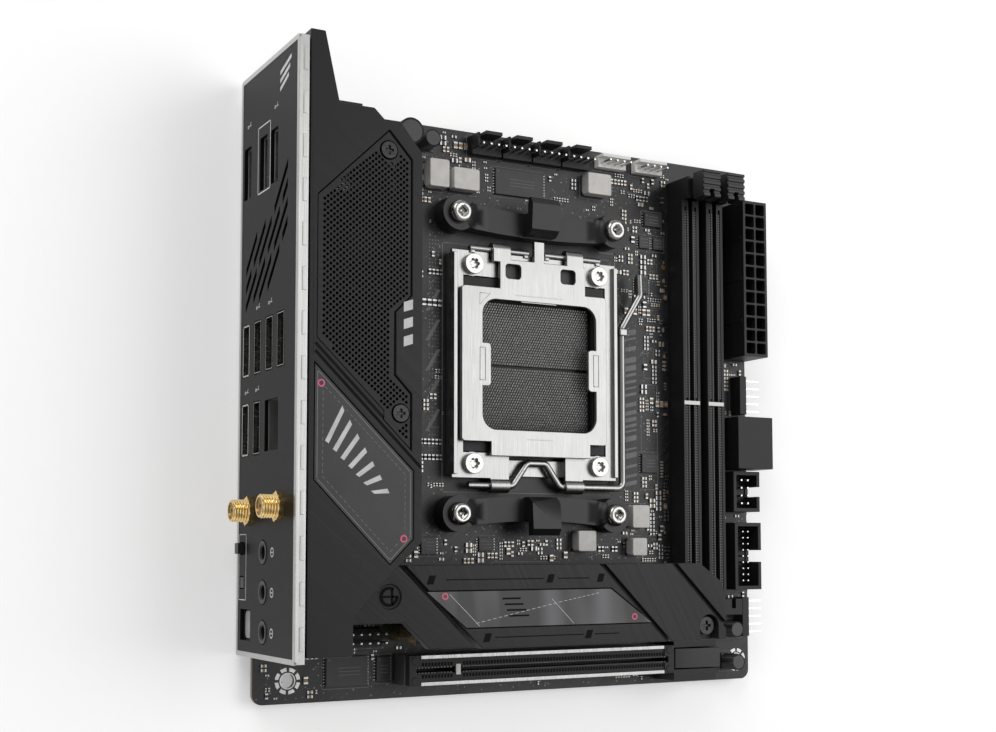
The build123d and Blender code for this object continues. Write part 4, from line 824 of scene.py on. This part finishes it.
# the contact cells on the slot's top are near-black, painted shade in their openings; the springs take the
# darkened tin
card_contacts = Solid()
card_low, card_high = mm_box("expansion_slot")
card_mid = (card_low.y + card_high.y) / 2
x = card_low.x + 2.4
while x < card_high.x - 2.0:
    if abs(x - 57.8) > 1.4:
        for side in (-1, 1):
            spring_y = card_mid + side * 0.75
            cell_y = card_mid + side * 1.7
            card_contacts.box(x - 0.2, x + 0.2, spring_y - 0.12, spring_y + 0.12, 8.0, 10.6)
            card_contacts.box(x - 0.28, x + 0.28, cell_y - 0.5, cell_y + 0.5, 10.86, 11.0, 1)
    x += 1.0
card_contacts.box(57.1, 58.5, card_mid - 1.5, card_mid + 1.5, 10.6, 11.02, 2)
card_contacts.build("card_slot_contacts", [TIN_PAINTED_SHADE, SHADE_AND_PRINT_BLACK, WHITE])

power = Solid()
low, high = mm_box("main_power_socket")
ledge_y = (low.y + high.y) / 2
power.box(high.x - 0.05, high.x + 1.1, ledge_y - 2.6, ledge_y + 2.6, high.z - 4.6, high.z - 3.0)
for y in (low.y + 12.0, low.y + 25.8, low.y + 39.4):
    power.box(low.x - 0.25, low.x + 0.05, y - 0.6, y + 0.6, 0.0, high.z - 1.2)
power.build("power_socket_ledge", [PLASTIC], soften=0.12)


# ---- ports ---------------------------------------------------------------------------
port_parts = Solid()
for low, high in islands("port_tongues"):
    cy, top = (low.y + high.y) / 2, high.z
    for i in range(9):
        y = cy - 4.4 + 1.1 * i
        port_parts.box(low.x + 0.5, low.x + 7.0, y - 0.25, y + 0.25, top - 0.02, top + 0.05)
    if cy < 120:
        centre_z = (low.z + high.z) / 2 - 1.0
        wide = 0.42 if low.z < 8 else 0.16
        port_parts.frame_line(
            cy - 6.9, cy + 6.9, centre_z - 2.6, centre_z + 2.6,
            wide, plate_low.x - 0.02, plate_low.x + 3.0, 1, "x",
        )
port_parts.build("port_contacts_and_lips", [GOLD, SCREW])


# ---- small board parts ----------------------------------------------------------------
dice = random.Random(20)
STANDING = [
    "shield_rim", "video_usb_shell", "usb_stack_shell", "network_usb_shell", "wireless_module",
    "audio_jacks", "light_port", "button_housing", "socket_base", "socket_frame", "clamp_screws",
    "cooler_bracket_far", "cooler_bracket_near", "memory_slot_1", "memory_slot_2", "expansion_slot",
    "slot_shield", "card_latch_base", "stack_posts", "main_power_socket", "processor_power_socket",
    "fan_headers", "lighting_headers", "drive_ports", "header_bases", "power_chokes", "capacitors",
    "chips", "clock_battery", "cooler_screws",
]
taken = []
for node in STANDING:
    for low, high in islands(node):
        if low.z < 3.0:
            taken.append((low.x - 0.35, high.x + 0.35, low.y - 0.35, high.y + 0.35))
HOLE_PADS = [(10.16, 6.35), (165.1, 6.35), (165.1, 163.83), (33.02, 163.83)]
for x, y in HOLE_PADS:
    taken.append((x - 4.2, x + 4.2, y - 4.2, y + 4.2))
taken.append((109.0, 120.0, 60.0, 130.0))
SIGN = (121.0, 127.4, 62.0, 118.0)
taken.append(SIGN)


def free(x0, x1, y0, y1):
    """Whether a rectangle of board is clear; if it is, it becomes taken."""
    if x0 < 1 or y0 < 1 or x1 > 169.2 or y1 > 169.2:
        return False
    for a0, a1, b0, b1 in taken:
        if x0 < a1 and x1 > a0 and y0 < b1 and y1 > b0:
            return False
    taken.append((x0, x1, y0, y1))
    return True


SIZES = [(1.0, 0.5, 0.35), (1.0, 0.5, 0.35), (1.6, 0.8, 0.5), (1.6, 0.8, 0.6), (2.0, 1.25, 0.7)]
small = Solid()


def small_part(x, y, length, breadth, height, upright, body):
    """Two-ended part: metal caps and a body between them."""
    half_l, half_b = length / 2, breadth / 2
    cap = length * 0.26
    spans = [(-half_l, -half_l + cap, 0), (-half_l + cap, half_l - cap, body), (half_l - cap, half_l, 0)]
    for a, b, paint in spans:
        lift = height if paint == 0 else height * 0.94
        thin = half_b if paint == 0 else half_b * 0.94
        if upright:
            small.box(x - thin, x + thin, y + a, y + b, 0.0, lift, paint)
        else:
            small.box(x + a, x + b, y - thin, y + thin, 0.0, lift, paint)


# low x, high x, low y and high y of each area, with the tries made in it
ZONES = [
    (46, 140, 146, 161.5, 240), (118, 139, 104, 150, 190), (128, 139, 40, 104, 120),
    (44, 139, 39.4, 50.5, 260), (50, 58, 56, 142, 60), (155.6, 169, 86, 106, 60), (1, 47, 1, 15, 90),
    (133, 169, 14, 40, 110), (156, 169, 50, 60, 14), (48, 66, 146, 169, 90), (108, 140, 158, 170, 70),
    (155.4, 160, 20, 160, 60), (40, 134, 0.8, 4.2, 60), (4, 42, 13, 38, 80), (120, 139, 50, 62, 50),
]
SHARE_TRIED = 0.42
for x0, x1, y0, y1, tries in ZONES:
    for _ in range(int(tries * SHARE_TRIED)):
        length, breadth, height = dice.choice(SIZES)
        upright = dice.random() < 0.5
        count = dice.choice((1, 2, 3, 4, 6))
        body = dice.choice((1, 1, 2))
        x, y = dice.uniform(x0, x1), dice.uniform(y0, y1)
        for i in range(count):
            step = (breadth + 0.45) * i
            px, py = (x + step, y) if upright else (x, y + step)
            wide, deep = (breadth, length) if upright else (length, breadth)
            if px > x1 or py > y1:
                break
            if free(px - wide / 2 - 0.15, px + wide / 2 + 0.15, py - deep / 2 - 0.15, py + deep / 2 + 0.15):
                small_part(px, py, length, breadth, height, upright, body)
small.build("surface_parts", [SOLDER, CERAMIC, RESISTOR])

# legged packages: rows of leads beside the larger chips
leads = Solid()
for low, high in islands("chips"):
    wide, deep = high.x - low.x, high.y - low.y
    if wide > 20 or low.z > 0.01 or low.x < 36 and low.y > 45:
        continue
    count = int(deep / 0.8)
    for i in range(count):
        y = low.y + (i + 0.5) * deep / count
        for x0, x1 in ((low.x - 0.55, low.x + 0.05), (high.x - 0.05, high.x + 0.55)):
            leads.box(x0, x1, y - 0.15, y + 0.15, 0.02, 0.3)
    leads.disc(low.x + 0.9, high.y - 0.9, 0.3, high.z - 0.01, high.z + 0.02, 1)
    for k in range(3):
        y = (low.y + high.y) / 2 + (k - 1) * 1.0
        if deep > 3.6:
            bar = [(low.x + wide * 0.3, y), (high.x - wide * 0.2, y)]
            leads.line(bar, 0.22, high.z - 0.01, high.z + 0.015, 1)
leads.build("chip_leads", [SOLDER, DIE])

choke_pads = Solid()
for low, high in islands("power_chokes"):
    for x0, x1 in ((low.x - 0.4, low.x + 0.3), (high.x - 0.3, high.x + 0.4)):
        choke_pads.box(x0, x1, low.y + 0.9, high.y - 0.9, 0.0, 0.8)
choke_pads.build("choke_pads", [SOLDER])

can_tops = Solid()
for low, high in islands("capacitors"):
    cx, cy, r = (low.x + high.x) / 2, (low.y + high.y) / 2, (high.x - low.x) / 2
    can_tops.disc(cx, cy, r * 0.84, high.z - 0.02, high.z + 0.05, 0, 28)
can_tops.build("capacitor_tops", [SLEEVE], soften=0.03)

# vias, test pads and fixing-hole pads
vias = Solid()
for x0, x1, y0, y1, tries in ZONES:
    for _ in range(tries):
        x, y = dice.uniform(x0, x1), dice.uniform(y0, y1)
        if 1 < x < 169 and 1 < y < 169:
            vias.disc(x, y, dice.choice((0.14, 0.17, 0.22)), -0.01, 0.03, 3, 8)
VIA_FIELDS = [
    (53.4, 57.2, 70, 140, 0.95, 1.15),
    (128.5, 138.5, 118, 126, 0.8, 0.8),
    (128.5, 138.5, 130, 138, 0.8, 0.8),
]
for x0, x1, y0, y1, dx, dy in VIA_FIELDS:
    for i in range(int((x1 - x0) / dx)):
        for j in range(int((y1 - y0) / dy)):
            if dice.random() < 0.72:
                vias.disc(x0 + i * dx, y0 + j * dy, 0.17, -0.01, 0.03, 3, 8)
for x, y in HOLE_PADS:
    vias.ring(x, y, 2.3, 2.02, -0.01, 0.03)
    for k in range(8):
        vias.ring(x, y, 3.7, 2.7, -0.01, 0.035, 0, 45 * k + 5, 31, 5)
for x, y in ((137.5, 135.0), (136.6, 49.7)):
    vias.disc(x, y, 0.75, -0.01, 0.035, 1, 16)
vias.ring(50.1, 155.9, 2.8, 1.3, -0.01, 0.04, 2, 0, 360, 28)
vias.build("vias_and_pads", [SOLDER, COPPER, PRINT_BRIGHT, VIA])

# tracks and printed outlines
TRACK_FOOT = -0.005
TRACK_TOP = 0.02
tracks = Solid()
for i in range(46):
    y = 66 + 1.35 * i
    shift = (y - 97) * 0.34
    path = [(117.5, y), (121.0 + 0.02 * i, y), (125.0, y + shift), (139.0, y + shift)]
    tracks.line(path, 0.16, TRACK_FOOT, TRACK_TOP)
for i in range(26):
    x = 60 + 2.2 * i
    tracks.line([(x, 139.8), (x, 144.0), (x + 6.0, 150.0), (x + 6.0, 161.0)], 0.16, TRACK_FOOT, TRACK_TOP)
for i in range(30):
    x = 58 + 2.0 * i
    tracks.line([(x, 50.0), (x, 45.0), (x + 5.0, 40.0)], 0.16, TRACK_FOOT, TRACK_TOP)
for i in range(16):
    y = 40 + 0.7 * i
    tracks.line([(122.0, y), (130.0 + i * 0.3, y), (139.0, y - 6.0)], 0.14, TRACK_FOOT, TRACK_TOP)
tracks.build("signal_tracks", [TRACK])

PRINT_FOOT = -0.005
PRINT_TOP = 0.022
prints = Solid()
for node in ("power_chokes", "fan_headers", "lighting_headers", "chips", "header_bases", "capacitors"):
    for low, high in islands(node):
        if low.z < 1.0 and high.x - low.x < 30 and high.y - low.y < 30 and not (low.x < 36 and low.y > 45):
            sides = (low.x - 0.8, high.x + 0.8, low.y - 0.7, high.y + 0.7)
            prints.frame_line(*sides, 0.14, PRINT_FOOT, PRINT_TOP)
prints.frame_line(57.6, 116.8, 60.0, 135.2, 0.3, PRINT_FOOT, PRINT_TOP)
prints.line([(113.0, 137.5), (118.6, 137.5), (118.6, 124.0)], 0.5, -0.005, 0.024)
# generic slanted bars and blocks beside the socket
bar_y = SIGN[2] + 0.6
while bar_y < SIGN[3] - 4:
    height = dice.choice((1.2, 1.8, 2.6, 3.4))
    bar_end = bar_y + height * 0.5
    bar = [(121.6, bar_y), (126.6, bar_y + 1.1), (126.6, bar_y + 1.1 + height * 0.5), (121.6, bar_end)]
    prints.prism(bar, -0.005, 0.024)
    bar_y += height * 0.5 + dice.choice((0.9, 1.3, 2.2))
for i in range(5):
    y = 78 + 9.0 * i
    prints.prism([(52.0, y), (53.2, y), (57.0, y + 6.6), (55.8, y + 6.6)], -0.005, 0.02)
for i in range(4):
    y = 76 + 6.5 * i
    prints.prism([(118.4, y), (119.6, y), (119.6, y + 4.4), (118.4, y + 2.8)], -0.005, 0.02)
prints.frame_line(128.4, 134.6, 62.0, 96.0, 0.18, PRINT_FOOT, PRINT_TOP)
prints.frame_line(129.6, 133.4, 98.0, 108.0, 0.18, PRINT_FOOT, PRINT_TOP)
prints.build("board_print_lines", [PRINT])


# ---- rear shield print -----------------------------------------------------------------
face = plate_low.x
# low and high x of the printed layer on the plate's outer face
PRINT_X = (face - 0.03, face + 0.01)
art = Solid()
art.frame_line(139.6, 157.9, 12.4, 22.4, 0.35, *PRINT_X, 0, "x")
art.frame_line(29.3, 47.1, -0.4, 5.6, 0.22, *PRINT_X, 0, "x")
PORT_ICONS = [
    (160.6, 5.0, 1.6), (160.4, 27.5, 1.4), (108.4, 14.0, 1.5),
    (108.4, 24.0, 1.5), (86.0, 5.0, 1.5), (86.0, 14.0, 1.5),
]
for y, z, size in PORT_ICONS:
    art.line([(y, z - size * 0.7), (y, z + size * 0.7)], 0.22, *PRINT_X, 0, "x")
    art.line([(y, z), (y + size * 0.6, z + size * 0.5)], 0.22, *PRINT_X, 0, "x")
    art.ring(y, z - size * 0.7 - 0.4, 0.5, 0.25, *PRINT_X, along="x", steps=12)
for y, z in ((42.2, 27.0), (31.7, 27.0), (21.2, 27.0)):
    art.ring(y, z, 1.3, 1.0, *PRINT_X, along="x", steps=20)
    art.line([(y, z - 0.5), (y, z + 0.5)], 0.3, *PRINT_X, 0, "x")
for k in range(3):
    foot = 2.2 * k
    stripe = [
        (163.5 + foot, 30.0), (164.6 + foot, 30.0),
        (169.0 + foot - 2.0, 36.5 + k), (167.9 + foot - 2.0, 36.5 + k),
    ]
    art.prism(stripe, *PRINT_X, 0, "x")
art.build("shield_print", [PRINT_BRIGHT])

flange = Solid()
rim_low, rim_high = mm_box("shield_rim")
for z in (rim_low.z + 0.35, rim_high.z - 0.42):
    flange.box(rim_low.x + 0.9, rim_high.x - 0.1, rim_low.y + 1.0, rim_high.y - 1.0, z - 0.06, z + 0.06)
flange.build("shield_flange_beads", [RIM_STEEL])

# painted shade: a near-black wall at the back of each port, behind its tongue, inside the steel port shells
port_shade = Solid()
for low, high in islands("port_tongues"):
    port_shade.box(high.x + 0.05, high.x + 0.3, low.y - 0.2, high.y + 0.2, low.z - 1.2, high.z + 0.8)
port_shade.build("port_back_painted_shade", [SHADE_AND_PRINT_BLACK])

LINER_PROFILE = [(0, 2.9), (0, 2.1), (1.0, 1.95), (12.0, 1.95), (12.0, 2.05), (1.0, 2.9)]
jack_rings = Solid()
for cy, cz in ((42.2, 19.6), (31.7, 19.8), (21.2, 20.0)):
    jack_rings.spun((face - 0.1, cy, cz), LINER_PROFILE)
jack_rings.build("audio_jack_liners", [PLASTIC_SATIN], smooth=True)


# ---- cover art ---------------------------------------------------------------------------
top = mm_box("cover_badge")[1].z
edge = shrunk(straightened(top_loops("cover_badge")[0]), 0.7)
art = Solid()
art.line(edge + edge[:1], 0.22, top - 0.02, top + 0.03, 0)
inner = shrunk(edge, 1.5)
for a, b in zip(inner, inner[1:] + inner[:1]):
    a, b = Vector(a), Vector(b)
    steps = int((b - a).length / 1.6)
    for i in range(steps):
        p, q = a.lerp(b, i / steps), a.lerp(b, (i + 0.5) / steps)
        art.line([tuple(p), tuple(q)], 0.14, top - 0.02, top + 0.025, 0)
# sweeping generic bands
for k in range(7):
    x0 = 4.0 + 2.1 * k
    base = 80.0 - 3.1 * k
    band = [
        (x0, base - 9.5 + k), (x0 + 1.0, base - 10.2 + k),
        (x0 + 5.2, base - 1.6 - k * 0.4), (x0 + 4.6, base - 0.4 - k * 0.4),
    ]
    art.prism(band, top - 0.02, top + 0.03, 1)
for x, y in ((2.9, 85.2), (25.9, 45.6)):
    art.ring(x, y, 1.0, 0.62, top - 0.02, top + 0.05, 2)
art.build("cover_badge_art", [PRINT, PRINT_BRIGHT, RING])

top = mm_box("drive_badge")[1].z
art = Solid()
points = [(52.0, 22.6), (66.0, 25.4), (80.0, 28.2), (92.0, 30.4)]
for a, b in zip(points, points[1:]):
    a, b = Vector(a), Vector(b)
    for i in range(8):
        art.line([tuple(a.lerp(b, i / 8)), tuple(a.lerp(b, (i + 0.55) / 8))], 0.13, top - 0.02, top + 0.025)
art.line([(44.0, 30.6), (53.0, 21.9)], 0.12, top - 0.02, top + 0.025)
art.line([(76.0, 28.8), (83.0, 21.9)], 0.12, top - 0.02, top + 0.025)
for k in range(4):
    bar = [(60.4 + k * 0.7, 29.2 - 1.6 * k), (65.6 + k * 0.9, 29.2 - 1.6 * k)]
    art.line(bar, 0.5, top - 0.02, top + 0.02, 2)
for x, y in ((42.6, 30.1), (103.6, 23.2)):
    art.ring(x, y, 0.95, 0.58, top - 0.02, top + 0.05, 1)
art.build("drive_badge_art", [PRINT_BRIGHT, RING, SHADE_AND_PRINT_BLACK])

top = mm_box("drive_cover")[1].z
art = Solid()
art.line([(43.0, 34.6), (73.0, 34.6)], 0.3, top - 0.01, top + 0.02)
art.line([(78.0, 34.6), (88.0, 34.6)], 0.3, top - 0.01, top + 0.02)
art.line([(58.0, 18.6), (86.0, 18.6)], 0.3, top - 0.01, top + 0.02)
art.line([(90.0, 18.6), (98.0, 18.6)], 0.3, top - 0.01, top + 0.02)
for x, y in ((38.4, 34.6), (75.4, 34.6), (92.0, 34.6), (55.4, 18.6), (88.0, 18.6)):
    lozenge = [(x - 1.4, y - 1.2), (x + 0.6, y - 1.2), (x + 1.4, y + 1.2), (x - 0.6, y + 1.2)]
    art.prism(lozenge, top - 0.01, top + 0.02)
cover_top = mm_box("port_cover")[1].z
art.ring(26.3, 30.3, 2.7, 1.9, top - 0.52, top - 0.3, 0, 60, 300, 30)
art.line([(24.6, 30.3), (28.6, 30.3)], 0.5, top - 0.52, top - 0.3)
art.line([(27.2, 28.4), (27.2, 32.2)], 0.5, top - 0.52, top - 0.3)
for k in range(3):
    y = 96.0 + 4.6 * k
    block = [(25.6, y), (28.2, y + 0.9), (28.2, y + 3.5), (25.6, y + 2.6)]
    art.prism(block, cover_top - 0.01, cover_top + 0.03, 1)
art.build("engraved_marks", [SHADE_AND_PRINT_BLACK, PRINT_BRIGHT])


# ---- stage, light and camera ----------------------------------------------------------------
def quad(name, size, height):
    mesh = bpy.data.meshes.new(name)
    s = size / 2
    mesh.from_pydata([(-s, -s, height), (s, -s, height), (s, s, height), (-s, s, height)], [], [(0, 1, 2, 3)])
    thing = bpy.data.objects.new(name, mesh)
    bpy.context.scene.collection.objects.link(thing)
    return thing


floor = quad("floor", 8.0, cad_box[0].z - 0.0004)
floor_finish = moulded("pale_floor", (0.92, 0.92, 0.92), 0.7, 0.02, 0.1, 0.0, 0.01)
floor_shader = next(n for n in floor_finish.node_tree.nodes if n.type == "BSDF_PRINCIPLED")
floor_shader.inputs["Emission Color"].default_value = (1, 1, 1, 1)
floor_shader.inputs["Emission Strength"].default_value = 0.3
floor.data.materials.append(floor_finish)

world = bpy.data.worlds.new("studio")
bpy.context.scene.world = world
world.use_nodes = True
world.node_tree.nodes["Background"].inputs["Color"].default_value = (1, 1, 1, 1)
world.node_tree.nodes["Background"].inputs["Strength"].default_value = 0.36


def softbox(name, direction, distance, size, radiance):
    """Square light aimed at the board's middle, given by its brightness."""
    lamp = bpy.data.lights.new(name, "AREA")
    lamp.shape = "RECTANGLE"
    lamp.size, lamp.size_y = size
    lamp.energy = radiance * math.pi * size[0] * size[1]
    holder = bpy.data.objects.new(name, lamp)
    bpy.context.scene.collection.objects.link(holder)
    way = Vector(direction).normalized()
    holder.location = way * distance
    holder.rotation_mode = "QUATERNION"
    holder.rotation_quaternion = (-way).to_track_quat("-Z", "Y")
    return holder


softbox("overhead", (0.62, 0.12, 0.85), 1.1, (0.8, 0.9), 2.1)
softbox("upper_left", (-0.55, 0.85, 0.75), 1.2, (0.6, 0.6), 3.2)
softbox("left_side", (-1.0, -0.2, 0.35), 1.0, (0.5, 0.7), 0.7)

LENS = 53.32
SENSOR = 36.0
SHIFT = (-0.0622, 0.0843)
YAW, PITCH, ROLL = 0.52242, -0.069048, 0.0034837
CAMERA_AT = (-0.21302, -0.04647, 0.40209)

turn = Matrix.Rotation(ROLL, 3, "Z") @ Matrix.Rotation(PITCH, 3, "X") @ Matrix.Rotation(YAW, 3, "Y")
camera_data = bpy.data.cameras.new("camera")
camera_data.sensor_width = SENSOR
camera_data.lens = LENS
camera_data.shift_x, camera_data.shift_y = SHIFT
camera_data.clip_start = 0.01
camera = bpy.data.objects.new("camera", camera_data)
bpy.context.scene.collection.objects.link(camera)
camera.matrix_world = Matrix.Translation(CAMERA_AT) @ turn.transposed().to_4x4()
bpy.context.scene.camera = camera
bpy.context.scene.view_settings.view_transform = "Standard"
